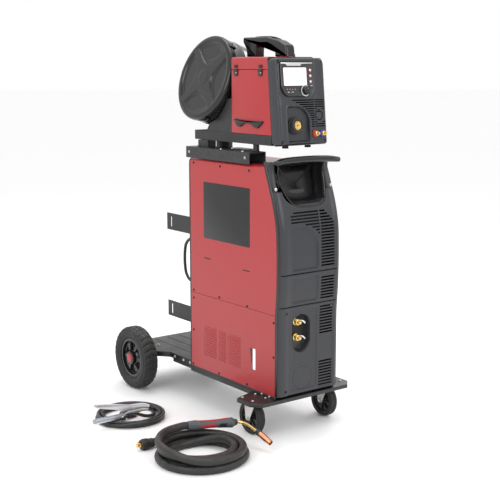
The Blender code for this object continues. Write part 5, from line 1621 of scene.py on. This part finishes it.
@dataclass
class Drum:
    """The tilted wire drum: a tub, and a lid with four dished sectors between four arms."""

    face: tuple[float, float, float] = (-0.112, 0.484, 1.291)
    tilt: float = math.radians(17.5)
    radius: float = 0.165
    long: float = 0.133
    lid: float = 0.022

    def turn(self) -> Matrix:
        """The matrix that stands +Z out of the lid at the drum's face, with +Y up the face."""
        out = Vector((-math.cos(self.tilt), 0.0, math.sin(self.tilt)))
        up = Vector((math.sin(self.tilt), 0.0, math.cos(self.tilt)))
        side = up.cross(out)
        turn = Matrix((side, up, out)).transposed().to_4x4()
        return Matrix.Translation(Vector(spot(*self.face))) @ turn

    def lid_form(self) -> Form:
        """The lid, as rings of radius r with four dished sectors between four arms.

        With p and q the distances from the two lines that the arms follow, a sector lies where
        sqrt((p - w)(q - w)) passes c, so its inner corner is rounded like a hyperbola.
        """
        r = np.concatenate([[0.0], np.linspace(0.004, 0.148, 84),
                            0.148 + 0.017 * np.sin(np.linspace(0.15, np.pi / 2, 8))])
        turn = np.linspace(0, 2 * np.pi, 360, endpoint=False)
        radius, angle = np.meshgrid(r, turn, indexing="ij")
        p, q = np.abs(radius * np.cos(angle - 0.70)), np.abs(radius * np.sin(angle - 0.70))
        corner = np.sqrt(np.maximum(p - 0.010, 0) * np.maximum(q - 0.010, 0))
        inside = 1 - smoothstep(radius, 0.134, 0.142)
        dish = 0.0052 * smoothstep(corner, 0.024, 0.029) * inside
        dish = dish + 0.0020 * smoothstep(corner, 0.036, 0.040) * (1 - smoothstep(radius, 0.124, 0.130))
        height = -0.0012 - dish + 0.0010 * smoothstep(0.030 - radius, -0.003, 0.003)
        bead = smoothstep(radius, 0.1440, 0.1465) * (1 - smoothstep(radius, 0.1500, 0.1525))
        height = np.where(radius > 0.1535, -0.0012 - roll(0.165 - radius, 0.0115), height + 0.0010 * bead)
        skin_rings = np.stack([radius * np.cos(angle), radius * np.sin(angle), height], -1)
        lower = [(self.radius, -0.0125), (self.radius, -0.0170), (self.radius + 0.0004, -0.0175),
                 (self.radius + 0.0004, -0.0218),
                 (self.radius - 0.0030, -0.0218), (self.radius - 0.0050, -0.0120), (0.0, -0.0100)]
        under = [np.stack([rr * np.cos(turn), rr * np.sin(turn), np.full(360, h)], -1) for rr, h in lower]
        return loft(np.concatenate([skin_rings, np.stack(under)]), caps=False)

    def build(self) -> None:
        """Builds the lid, the tub and the clips."""
        turn = self.turn()
        self.lid_form().mapped(turn).build("drum_lid_shell", DRUM_PLASTIC, "drum_lid", ("spool_lid",),
                                           angle=28)
        wall = self.radius - 0.0015
        tub = [(0.0, -0.034), (0.024, -0.034), (0.024, -0.129), (wall - 0.0035, -0.129), (wall - 0.0035,
            -0.0225),
               (wall, -0.0225), (wall + 0.0008, -0.030), (wall - 0.0006, -0.034), (wall - 0.0010, -0.072),
               (wall + 0.0006, -0.075), (wall + 0.0006, -0.080), (wall - 0.0010, -0.083), (wall - 0.0014,
                   -0.122),
               (wall - 0.0060, -0.131), (wall - 0.012, -self.long), (0.100, -self.long), (0.092,
                   -self.long + 0.004),
               (0.0, -self.long + 0.004)]
        lathe(tub, (0, 0, 0), (0, 0, 1), 120).mapped(turn).build("drum_tub", DRUM_PLASTIC, FEEDER,
                                                                 ("spool_tub",), angle=28)
        clip = block((-0.011, -0.002, -0.040), (0.011, 0.004, -0.008), 0.0018).moved(y=-FRONT_Y)
        pin = tube(np.array([(-0.012, 0.0035, -0.026), (0.012, 0.0035, -0.026)]), 0.0032, (0, 0, 1), 16)
        turns = [turn @ Matrix.Rotation(a, 4, "Z") @ Matrix.Translation((0, self.radius + 0.0008, 0))
                 for a in np.radians((-40, 80, 200))]
        join([clip, pin]).copies(turns).build("drum_clips", BLACK_PLASTIC, FEEDER)


def mirrored(outline: Sequence[tuple[float, float]]) -> list[tuple[float, float]]:
    """Adds the other half of an outline that lists its right half from front to rear."""
    return [*outline, *[(-x, y) for x, y in reversed(outline)]]


def pan(outline: np.ndarray, low: float, top: float, sheet: float, lip: float) -> Form:
    """A pressed tray, open below: its lip hangs from a flat top with a rounded shoulder."""
    turns = np.linspace(0, np.pi / 2, 5)
    layers = [(lip, top - sheet), (lip, low), (0.0, low)]
    layers += [(lip * (1 - math.cos(a)), top - lip * (1 - math.sin(a))) for a in turns]
    return loft(np.stack([stand(inset(outline, move), z, Plane.TOP) for move, z in layers]))


def plate_with_slot(depths: tuple[float, float], heights: tuple[float, float], slot: Sequence[float],
                    x: float,
                    thick: float) -> Form:
    """An upright side plate with one window, given as depths and heights."""
    holes = np.array(slot)
    columns = lines(*depths, holes[:2], 0.02)
    rows = lines(*heights, holes[2:], 0.02)
    mid_u, mid_v = (columns[1:] + columns[:-1]) / 2, (rows[1:] + rows[:-1]) / 2
    across, over = (mid_u > holes[0]) & (mid_u < holes[1]), (mid_v > holes[2]) & (mid_v < holes[3])
    return pierced(columns, rows, ~(over[:, None] & across[None]), lambda u, v, w: spots(
        np.stack([x + w + 0 * u, u, v], -1)), thick)


@dataclass
class Trolley:
    """The tray with its caster ears, the bottle tray with the axle's ears, and their bolts."""

    tray_top: float = 0.142
    tray_deep: float = 0.014
    bottle_top: float = 0.164

    def build(self) -> None:
        """Builds the trays, the brackets that hold the bottle, and the bolts."""
        ears = mirrored([(0.202, -0.011), (0.235, 0.025), (0.235, 0.105), (0.153, 0.133), (0.141, 0.145),
                         (0.141, 0.545), (0.126, 0.548), (0.126, 0.700)])
        tray = pan(rounded(ears, 0.006, 4), self.tray_top - self.tray_deep, self.tray_top, 0.004, 0.003)
        pads = [block((side * 0.174 - 0.050, 0.031, 0.1352), (side * 0.174 + 0.050, 0.111, 0.1378), 0.001)
                for side in (-1, 1)]
        join([tray, *pads]).build("base_tray_pan", BLACK_PAINT, CART, ("base_tray",), angle=50)
        shape = mirrored([(0.128, 0.5455), (0.128, 0.715), (0.172, 0.765), (0.172, 0.957)])
        bottle = pan(rounded(shape, 0.010, 4), self.tray_top + 0.0004, self.bottle_top, 0.004, 0.003)
        ear = rounded([(0.796, 0.162), (0.822, 0.110), (0.860, 0.110), (0.886, 0.162)], 0.010)
        ears = [slab(ear, x, x + 0.004, Plane.SIDE, 0.0008) for x in (-0.154, 0.150)]
        ribs = [block((x - 0.004, 0.600, self.bottle_top - 0.001), (x + 0.004, 0.930,
                                                                    self.bottle_top + 0.0012), 0.001)
                for x in (-0.060, 0.0, 0.060)]
        join([bottle, *ears, *ribs]).build("bottle_tray_pan", BLACK_PAINT, CART, ("bottle_tray",), angle=50)
        top = [(side * x, depth, self.tray_top) for side in (-1, 1)
               for x, depth in ((0.212, 0.099), (0.210, 0.041), (0.150, 0.102), (0.150, 0.042))]
        screws("caster_bolts", top, (0, 0, 1), 0.0050, ZINC, CART)
        for side, word in SIDES:
            screws(f"tray_bolts_{word}", [(side * 0.1283, depth, 0.1520) for depth in (0.679, 0.615, 0.567)],
                   (side, 0, 0), 0.0050, ZINC, CART)
            screws(f"rail_bolts_{word}", [(side * 0.1425, depth, 0.1475) for depth in (0.030, 0.075)], (side,
                0, 0),
                   0.0042, ZINC, CART)
        screws("bottle_tray_screws", [(x, 0.843, self.bottle_top) for x in (-0.106, 0.106)], (0, 0, 1),
               0.0055, ZINC,
               CART)
        for word, low, high in (("upper", 0.677, 0.745), ("lower", 0.318, 0.383)):
            mid = (low + high) / 2
            slot = (0.700, 0.709, mid - 0.020, mid + 0.020)
            arms = [plate_with_slot((0.5424, 0.735), (low, high), slot, x, 0.003) for x in (-0.1215, 0.1185)]
            web = block((-0.1215, 0.5424, low), (0.1215, 0.5453, high), 0.0008)
            join([*arms, web]).build(f"bottle_bracket_{word}_plates", BLACK_PAINT, CART,
                                     (f"bottle_bracket_{word}",),
                                     bevel=0.0006)
            for side, hand in SIDES:
                screws(f"bracket_bolts_{word}_{hand}",
                       [(side * 0.1215, 0.566, mid + z) for z in (-0.016, 0.016)],
                       (side, 0, 0), 0.0048, BLACK_PLASTIC, CART)
        screws("support_bolts", [(x, d, 1.0261) for x in (-0.132, -0.080) for d in (0.205, 0.340)] + [
            (-0.106, 0.535, 1.0261)], (0, 0, 1), 0.0046, ZINC, CART)
        screws("support_end_bolts", [(-0.1441, d, 1.006) for d in (0.175, 0.535)], (-1, 0, 0), 0.0040, ZINC,
               CART)


def tyre_form(section: Sequence[Sequence[float]], radius: float, lugs: int, deep: float,
              shoulder: float) -> Form:
    """A tyre about +Z: its tread is cut by slanting grooves.

    At angle a and height h a tread point stands at its own radius less deep times an S-curve of
    sin(lugs a + slant |h|), faded out below the shoulder's radius.
    """
    ring = rounded(section, radius, 6)
    turn = np.linspace(0, 2 * np.pi, 360, endpoint=False)
    r, h = ring[:, :1], ring[:, 1:]
    wave = np.sin(lugs * turn + 90.0 * np.abs(h) + (h > 0) * 1.2)
    cut = deep * smoothstep(wave, 0.35, 0.75) * smoothstep(r, shoulder, shoulder + 0.006) * smoothstep(
        np.abs(h), 0.0015, 0.0030)
    cut = cut + deep * 0.8 * (1 - smoothstep(np.abs(h), 0.0010, 0.0022)) * smoothstep(r, shoulder,
        shoulder + 0.006)
    reach = r - cut
    return loft(np.stack([reach * np.cos(turn), reach * np.sin(turn), h + 0 * reach], -1), caps=False,
                loop=True)


@dataclass
class RearWheel:
    """A rear wheel: a treaded tyre on a spoked black rim with a red cap."""

    side: int
    word: str
    x: float = 0.217
    depth: float = 0.841
    radius: float = 0.130

    def build(self) -> None:
        """Builds the tyre, the rim and its cap."""
        body = f"rear_wheel_{self.word}"
        centre = Matrix.Translation(Vector(spot(self.side * self.x, self.depth, self.radius))) @ axis_turn(
            (self.side, 0, 0))
        section = [(0.0835, -0.026), (0.104, -0.0325), (0.122, -0.0305), (0.1300, -0.018)]
        line = [(r, h) for r, h in section] + [(self.radius, -0.004), (self.radius, 0.004)]
        line += [(r, -h) for r, h in reversed(section)]
        dense = []
        for (r0, h0), (r1, h1) in zip(line, line[1:] + line[:1]):
            dense += [(r0 + (r1 - r0) * t, h0 + (h1 - h0) * t, 0.0012) for t in (0.0, 0.25, 0.5, 0.75)]
        tyre_form(dense, 0.001, 30, 0.0030, 0.119).mapped(centre).build(
            f"rear_tyre_{self.word}_tread", TYRE, body, (f"rear_tyre_{self.word}",), angle=40)
        turn = np.linspace(0, 2 * np.pi, 180, endpoint=False)
        r = np.array([0.0106, 0.0106, 0.0240, 0.0270, 0.0275, 0.0300, 0.034, 0.040, 0.047, 0.054, 0.060,
                      0.064, 0.066,
                      0.0690, 0.0705, 0.0715, 0.0790, 0.0815, 0.0826, 0.0826, 0.0700, 0.0280, 0.0270, 0.0106])
        h = np.array([0.0, 0.0310, 0.0310, 0.0290, 0.0150, 0.0135, 0.0128, 0.0120, 0.0114, 0.0108, 0.0104,
                      0.0102, 0.0102,
                      0.0110, 0.0160, 0.0235, 0.0240, 0.0232, 0.0215, -0.0240, -0.0240, -0.0240, -0.0310,
                      -0.0310])
        spoke = smoothstep(np.cos(6 * turn), 0.25, 0.60)
        middle = (smoothstep(r, 0.0300, 0.0345) * (1 - smoothstep(r, 0.0630, 0.0670)) * (h > 0))[:, None]
        height = h[:, None] + middle * (spoke * 0.0070 - (1 - spoke) * 0.0080)
        rings = np.stack([r[:, None] * np.cos(turn), r[:, None] * np.sin(turn), height], -1)
        loft(rings, caps=False, loop=True).mapped(centre).build(
            f"rear_rim_{self.word}_spokes", BLACK_PLASTIC, body, (f"rear_rim_{self.word}",), angle=38)
        cap = [(0.0, 0.0345), (0.0100, 0.0343), (0.0165, 0.0330), (0.0180, 0.0315), (0.0180, 0.0308), (0.0,
            0.0308)]
        lathe(cap, (0, 0, 0), sides=48).mapped(centre).build(f"rear_cap_{self.word}", RED_PLASTIC, body)


@dataclass
class Caster:
    """A swivelling caster: a zinc fork with its ball races, and a wheel with a ribbed tyre."""

    side: int
    word: str
    x: float = 0.174
    depth: float = 0.071
    trail: float = 0.020
    radius: float = 0.0625

    def build(self) -> None:
        """Builds the fork and the wheel."""
        x, top = self.side * self.x, 0.1345
        race = [(0.0, 0.0), (0.0262, 0.0), (0.0270, -0.0015), (0.0270, -0.0040), (0.0240, -0.0062), (0.0225,
            -0.0100),
                (0.0150, -0.0115), (0.0, -0.0115)]
        forms = [lathe(race, spot(x, self.depth, top - 0.0002), (0, 0, 1), 48)]
        leg = rounded([(-0.022, top - 0.004, 0.002), (-0.019, top - 0.022, 0.010), (0.0090, 0.0560, 0.006),
                       (0.0200, 0.0520, 0.008), (0.0310, 0.0560, 0.006), (0.0385, top - 0.020, 0.012),
                       (0.0400, top - 0.004, 0.002)], 0.004) + np.array((self.depth, 0.0))
        for hand in (-1, 1):
            forms.append(slab(leg, x + hand * 0.0198, x + hand * 0.0226, Plane.SIDE, 0.0009))
        forms.append(block((x - 0.0226, self.depth - 0.022, top - 0.0062), (x + 0.0226, self.depth + 0.040,
            top - 0.0036),
                           0.0010))
        forms.append(block((x - 0.0200, self.depth - 0.0195, top - 0.020), (x + 0.0200, self.depth - 0.0175,
            top - 0.005),
                           0.0008))
        for hand in (-1, 1):
            nut = lathe([(0.0, 0.0048), (0.0052, 0.0046), (0.0074, 0.0032), (0.0078, 0.0), (0.0, 0.0)], (0,
                0, 0), sides=6)
            forms.append(nut.mapped(aimed([(x + hand * 0.0225, self.depth + self.trail, self.radius)], (hand,
                0, 0))[0]))
        join(forms).build(f"caster_fork_{self.word}_pressing", ZINC, f"caster_{self.word}",
                          (f"caster_fork_{self.word}",), angle=40)
        centre = Matrix.Translation(Vector(spot(x, self.depth + self.trail, self.radius))) @ axis_turn((1, 0,
            0))
        tyre = [(0.0462, -0.0140), (0.0520, -0.0160), (0.0580, -0.0158), (0.0615, -0.0125), (self.radius,
            -0.0080),
                (self.radius, -0.0042), (0.0612, -0.0036), (0.0612, -0.0024), (self.radius, -0.0018)]
        line = [*tyre, *[(r, -h) for r, h in reversed(tyre)]]
        core = [(0.0060, -0.0175), (0.0150, -0.0175), (0.0170, -0.0160), (0.0175, -0.0090), (0.0200, -0.0070),
                (0.0400, -0.0070), (0.0430, -0.0090), (0.0445, -0.0138), (0.0460, -0.0140)]
        hub = [*core, *[(r, -h) for r, h in reversed(core)]]
        body = f"caster_{self.word}_wheel"
        lathe(line, (0, 0, 0), sides=96).mapped(centre).build(f"caster_tyre_{self.word}", TYRE, body,
                                                             (f"caster_wheel_{self.word}",))
        ribs = block((-0.0016, 0.0180, -0.0125), (0.0016, 0.0430, 0.0125), 0.0008).moved(y=-FRONT_Y)
        spokes = ribs.copies([Matrix.Rotation(a, 4, "Z") for a in np.linspace(0, 2 * np.pi, 8,
            endpoint=False)])
        join([lathe(hub, (0, 0, 0), sides=96), spokes]).mapped(centre).build(f"caster_core_{self.word}",
            BLACK_PLASTIC,
                                                                            body)


@dataclass
class TorchBody:
    """The torch: a grey grip with red inlays and its trigger, the brass swan neck and the copper nozzle."""

    rear: tuple[float, float, float] = (-0.412, 0.106, 0.0765)
    front: tuple[float, float, float] = (-0.286, 0.049, 0.0765)

    def place(self, t: np.ndarray, angle: np.ndarray, lift: float | np.ndarray) -> np.ndarray:
        """A point on the grip: t along it from 0 to 1, and an angle from its trigger side upwards."""
        rear, front = spot(*self.rear), spot(*self.front)
        along = unit(front - rear)
        side = np.array((along[1], -along[0], 0.0))
        swell = 0.0172 + 0.0026 * t**3 - 0.0022 * np.sin(np.pi * np.clip(t * 1.25, 0,
            1)) + 0.0012 * np.cos(2 * angle)
        swell = swell * (1 - 0.30 * smoothstep(t, 0.93, 1.0) - 0.14 * (1 - smoothstep(t, 0.0, 0.05))) + lift
        middle = rear + (front - rear) * np.asarray(t)[..., None]
        return middle + (side * np.cos(angle)[..., None] + np.array((0, 0, 1.0)) * np.sin(angle)[...,
            None]) * swell[..., None]

    def build(self) -> None:
        """Builds the torch."""
        turn = np.linspace(0, 2 * np.pi, 48, endpoint=False)
        t, angle = np.meshgrid(np.concatenate([np.linspace(0, 0.92, 40), np.linspace(0.93, 1.0, 8)]), turn,
                               indexing="ij")
        ribs = 0.0006 * smoothstep(np.sin(t * 130.0), 0.2, 0.8) * (t > 0.58) * (t < 0.68)
        grip = loft(self.place(t, angle, ribs))
        rear, along = spot(*self.rear), unit(spot(*self.front) - spot(*self.rear))
        sleeve = [(0.0146, -0.0300), (0.0155, -0.0296), (0.0162, -0.0200), (0.0172, -0.0060), (0.0172,
            0.0030),
                  (0.0120, 0.0030), (0.0142, -0.0290)]
        join([grip, lathe(sleeve, rear, along, 40)]).build("torch_grip", TORCH_GREY, CART, ("torch_handle",),
                                                           angle=40)
        inlays = []
        for t_low, t_high, a_low, a_high, slant in ((0.10, 0.86, 1.05, 1.85, 0.35), (0.14, 0.52, -0.55, 0.25,
            0.25),
                                                   (0.03, 0.08, 0.35, 0.75, 0.0)):
            u, v = np.linspace(0, 1, 28), np.linspace(0, 1, 10)
            inlays.append(pierced(u, v, np.ones((9, 27), bool), lambda u, v, w: self.place(
                t_low + (t_high - t_low) * (u + slant * (v - 0.5) * (u - 0.5)),
                a_low + (a_high - a_low) * (0.5 + (v - 0.5) * (1 - 0.55 * np.abs(2 * u - 1) ** 3)),
                0.0006 - w), 0.0012))
        join(inlays).build("torch_inlays", RED_PLASTIC, CART)
        middle = rear + along * 0.70 * float(np.linalg.norm(spot(*self.front) - rear))
        side = np.array((along[1], -along[0], 0.0))
        blade = rounded([(-0.0138, 0.0100), (0.0138, 0.0100), (0.0138, 0.0190), (0.0080, 0.0243), (-0.0100,
            0.0228),
                         (-0.0138, 0.0190)], 0.003)
        lever = loft(np.stack([middle + along * p[:, :1] + side * p[:, 1:] + np.array((0, 0, z)) for p, z in (
            (inset(blade, 0.0012), -0.0048), (blade, -0.0036), (blade, 0.0036), (inset(blade, 0.0012),
                0.0048))]))
        lever.build("torch_lever", BLACK_PLASTIC, "trigger", ("torch_trigger",), angle=40)
        front = spot(*self.front)
        start, tip = spot(-0.254, -0.050, 0.060), spot(-0.246, -0.112, 0.036)
        way = unit(tip - start)
        route = np.vstack([front + along * 0.001, front + along * 0.014, spot(-0.262, 0.028, 0.0750),
                           spot(-0.256, 0.002, 0.0715), start - way * 0.004, start + way * 0.008])
        pipe = tube(resample(route, 0.004), 0.0056, (0, 0, 1), 24)
        nut = lathe([(0.0, 0.0), (0.0118, 0.0), (0.0122, 0.003), (0.0100, 0.008), (0.0072, 0.011), (0.0,
            0.011)], front,
                    along, 32)
        nut.build("neck_nut", RUBBER, CART, slot="black_plastic")
        pipe.build("swan_neck", BRASS, CART, ("torch_neck",), slot="brass")
        collar = lathe([(0.0, -0.008), (0.0085, -0.008), (0.0112, -0.005), (0.0118, 0.004), (0.0118, 0.010),
                        (0.0, 0.010)],
                       start, way, 40)
        collar.build("nozzle_collar", RUBBER, CART, slot="black_plastic")
        long = float(np.linalg.norm(tip - start))
        cup = [(0.0114, 0.0095), (0.0114, 0.0400), (0.0104, 0.0500), (0.0096, long - 0.001), (0.0091, long),
               (0.0082, long - 0.001), (0.0082, 0.0300), (0.0060, 0.0280), (0.0060, 0.0095)]
        lathe(cup, start, way, 56).build("gas_nozzle", COPPER, CART)
        contact = [(0.0, long - 0.002), (0.0012, long - 0.002), (0.0030, long - 0.006), (0.0036,
            long - 0.020),
                   (0.0036, 0.026), (0.0, 0.026)]
        lathe(contact, start, way, 24).build("contact_tip", BRASS, CART)


@dataclass
class Clamp:
    """The earth clamp: two pressed arms on a rivet, with a spring, copper jaws and a sleeve on one handle."""

    depth: float = 0.452
    half: float = 0.009
    sheet: float = 0.0016

    def arm(self, cheek: Sequence[Sequence[float]], back: Sequence[Sequence[float]]) -> Form:
        """One arm: two cheeks of an (x, z) outline, and a web carried along the arm's back."""
        ring = rounded(cheek, 0.004)
        near, far = self.depth - self.half, self.depth + self.half
        sides = [slab(ring, near + self.sheet, near, Plane.FRONT, 0.0006),
                 slab(ring, far - self.sheet, far, Plane.FRONT, 0.0006)]
        line = resample(np.array([(x, 0, z) for x, z in back]), 0.004)
        tangent = unit(np.gradient(line, axis=0))
        normal = np.stack([-tangent[:, 2], 0 * tangent[:, 0], tangent[:, 0]], -1)
        count = len(line)
        v = np.linspace(-1, 1, 9)

        def place(u: np.ndarray, v: np.ndarray, w: float) -> np.ndarray:
            """The web's skin, arched a little across."""
            index = u.astype(int)
            crown = 0.0022 * (1 - v**2)
            point = line[index] + normal[index] * (crown - w)[..., None]
            return point + np.stack([0 * v, FRONT_Y + self.depth + self.half * v, 0 * v], -1)

        web = pierced(np.arange(count).astype(float), v, np.ones((8, count - 1), bool), place, self.sheet)
        return join([*sides, web])

    def build(self) -> None:
        """Builds both arms, the rivet, the spring, the jaws, the sleeve and the boot."""
        lower = self.arm([(-0.628, 0.0310), (-0.545, 0.0322), (-0.500, 0.0440), (-0.470, 0.0440), (-0.405,
            0.0400),
                          (-0.400, 0.0470), (-0.424, 0.0540), (-0.470, 0.0535), (-0.492, 0.0535), (-0.515,
                              0.0447),
                          (-0.545, 0.0447), (-0.628, 0.0460)],
                         [(-0.402, 0.0392), (-0.470, 0.0432), (-0.500, 0.0430), (-0.545, 0.0312), (-0.628,
                             0.0300)])
        lower.build("clamp_arm_lower", CLAMP_ZINC, CART, ("clamp_lower",), angle=40)
        upper = self.arm([(-0.505, 0.0560), (-0.424, 0.0562), (-0.400, 0.0500), (-0.397, 0.0570), (-0.424,
            0.0680),
                          (-0.480, 0.0730), (-0.540, 0.0868), (-0.624, 0.1022), (-0.630, 0.0920), (-0.550,
                              0.0700)],
                         [(-0.632, 0.1025), (-0.540, 0.0868), (-0.480, 0.0733), (-0.424, 0.0685), (-0.397,
                             0.0575)])
        upper.build("clamp_arm_upper", CLAMP_ZINC, "clamp_jaw", ("clamp_upper",), angle=40)
        rivet = [(0.0, 0.0112), (0.0026, 0.0110), (0.0046, 0.0100), (0.0048, 0.0090), (0.0, 0.0090)]
        heads = [lathe(rivet, (0, 0, 0), sides=28).mapped(aimed([(-0.470, self.depth, 0.0600)], (0, hand,
            0))[0])
                 for hand in (-1, 1)]
        join(heads).build("clamp_rivet", STEEL, "clamp_jaw")
        turn = np.linspace(0, 2 * np.pi * 6, 120)
        coil = np.stack([-0.470 + 0.0052 * np.cos(turn), self.depth - 0.0055 + 0.011 * turn / turn[-1],
                         0.0600 + 0.0052 * np.sin(turn)], -1)
        tube(spots(coil), 0.0008, (0, 1, 0.01), 8).build("clamp_spring", STEEL, "clamp_jaw")
        block((-0.4120, self.depth - 0.0068, 0.0405), (-0.4000, self.depth + 0.0068, 0.0478), 0.0015).build(
            "clamp_pad_lower", COPPER, CART)
        block((-0.4120, self.depth - 0.0068, 0.0525), (-0.3990, self.depth + 0.0068, 0.0590), 0.0015).build(
            "clamp_pad_upper", COPPER, "clamp_jaw")
        sleeve = spots([(-0.6335, self.depth, 0.0380), (-0.590, self.depth, 0.0380), (-0.550, self.depth,
            0.0382)])
        path = resample(sleeve, 0.006)
        tube(path, 0.0100, (0, 1, 0), 28, wide=0.90).build("handle_sleeve", SLEEVE, CART)
        boot = resample(spots([(-0.5080, 0.4685, 0.0400), (-0.4920, 0.4685, 0.0398), (-0.4740, 0.4685,
            0.0388)]), 0.002)
        taper = np.interp(np.linspace(0, 1, len(boot)), (0, 0.3, 1), (0.0088, 0.0088, 0.0068))
        tube(boot, taper, (0, 0, 1), 24, Ends.ROUND).build("lead_boot", RUBBER, CART)
        lug = block((-0.5140, 0.4595, 0.0330), (-0.4980, 0.4640, 0.0470), 0.0012)
        lug.build("lead_lug", COPPER, CART)


NODE_FINISHES: dict[str, Finish] = {
    "base_tray": BLACK_PAINT, "bottle_tray": BLACK_PAINT, "axle": STEEL, "inner_frame": BLACK_PAINT,
    "inverter_block": ALUMINIUM, "coolant_tank": TANK, "upper_cover": RED_PAINT,
    "lower_panel_left": RED_PAINT,
    "lower_panel_right": RED_PAINT, "rear_panel": BLACK_PLASTIC, "front_upper": GREY_PLASTIC,
    "front_lower": GREY_PLASTIC, "front_handle": BLACK_PLASTIC, "coolant_coupling_upper": BRASS,
    "coolant_coupling_lower": BRASS, "bottle_bracket_upper": BLACK_PAINT, "bottle_bracket_lower": BLACK_PAINT,
    "rear_cable": LEAD, "feeder_support": BLACK_PAINT, "feeder_base": BLACK_PAINT,
    "feeder_body": BLACK_PLASTIC,
    "feeder_hood": RED_PAINT, "feeder_fascia": GREY_PLASTIC, "feeder_display": GLASS,
    "euro_socket": BLACK_PLASTIC,
    "coupling_red": BRASS, "coupling_blue": BRASS, "carry_handle": BLACK_PLASTIC, "spool_tub": DRUM_PLASTIC,
    "spool_lid": DRUM_PLASTIC, "wire_spool": WIRE, "feeder_door": RED_PAINT, "door_pull": BLACK_PLASTIC,
    "encoder_knob": BLACK_PLASTIC, "button_1": SILVER, "button_2": SILVER, "button_3": SILVER,
    "drive_roll": STEEL, "pressure_roll": STEEL, "fan_rotor": BLACK_PLASTIC, "main_switch": BLACK_PLASTIC,
    "rear_tyre_left": TYRE, "rear_tyre_right": TYRE, "rear_rim_left": BLACK_PLASTIC,
    "rear_rim_right": BLACK_PLASTIC,
    "caster_fork_left": ZINC, "caster_fork_right": ZINC, "caster_wheel_left": TYRE,
    "caster_wheel_right": TYRE,
    "torch_handle": TORCH_GREY, "torch_trigger": BLACK_PLASTIC, "torch_neck": BRASS, "torch_plug": RUBBER,
    "hose_coil": HOSE, "hose_tail": HOSE, "clamp_lower": CLAMP_ZINC, "clamp_upper": CLAMP_ZINC,
    "lead_coil": LEAD,
    "lead_tail": LEAD, "lead_plug": RUBBER,
}


def dress_nodes() -> None:
    """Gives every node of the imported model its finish."""
    for name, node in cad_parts.items():
        finish = NODE_FINISHES[name]
        node.data.materials.clear()
        node.data.materials.append(finish.material())


def main() -> None:
    """Builds the studio, the cords and then each sub-assembly."""
    logging.basicConfig(level=logging.INFO, format="%(name)s %(message)s")
    Studio().build()
    Torch().build()
    EarthLead().build()
    Cabinet().build()
    FrontMoulding().build()
    FeederCase().build()
    FeederFront().build()
    Drum().build()
    Trolley().build()
    RearWheel(-1, "left").build()
    RearWheel(1, "right").build()
    Caster(-1, "left").build()
    Caster(1, "right").build()
    TorchBody().build()
    Clamp().build()
    dress_nodes()


if __name__ == "__main__":
    main()
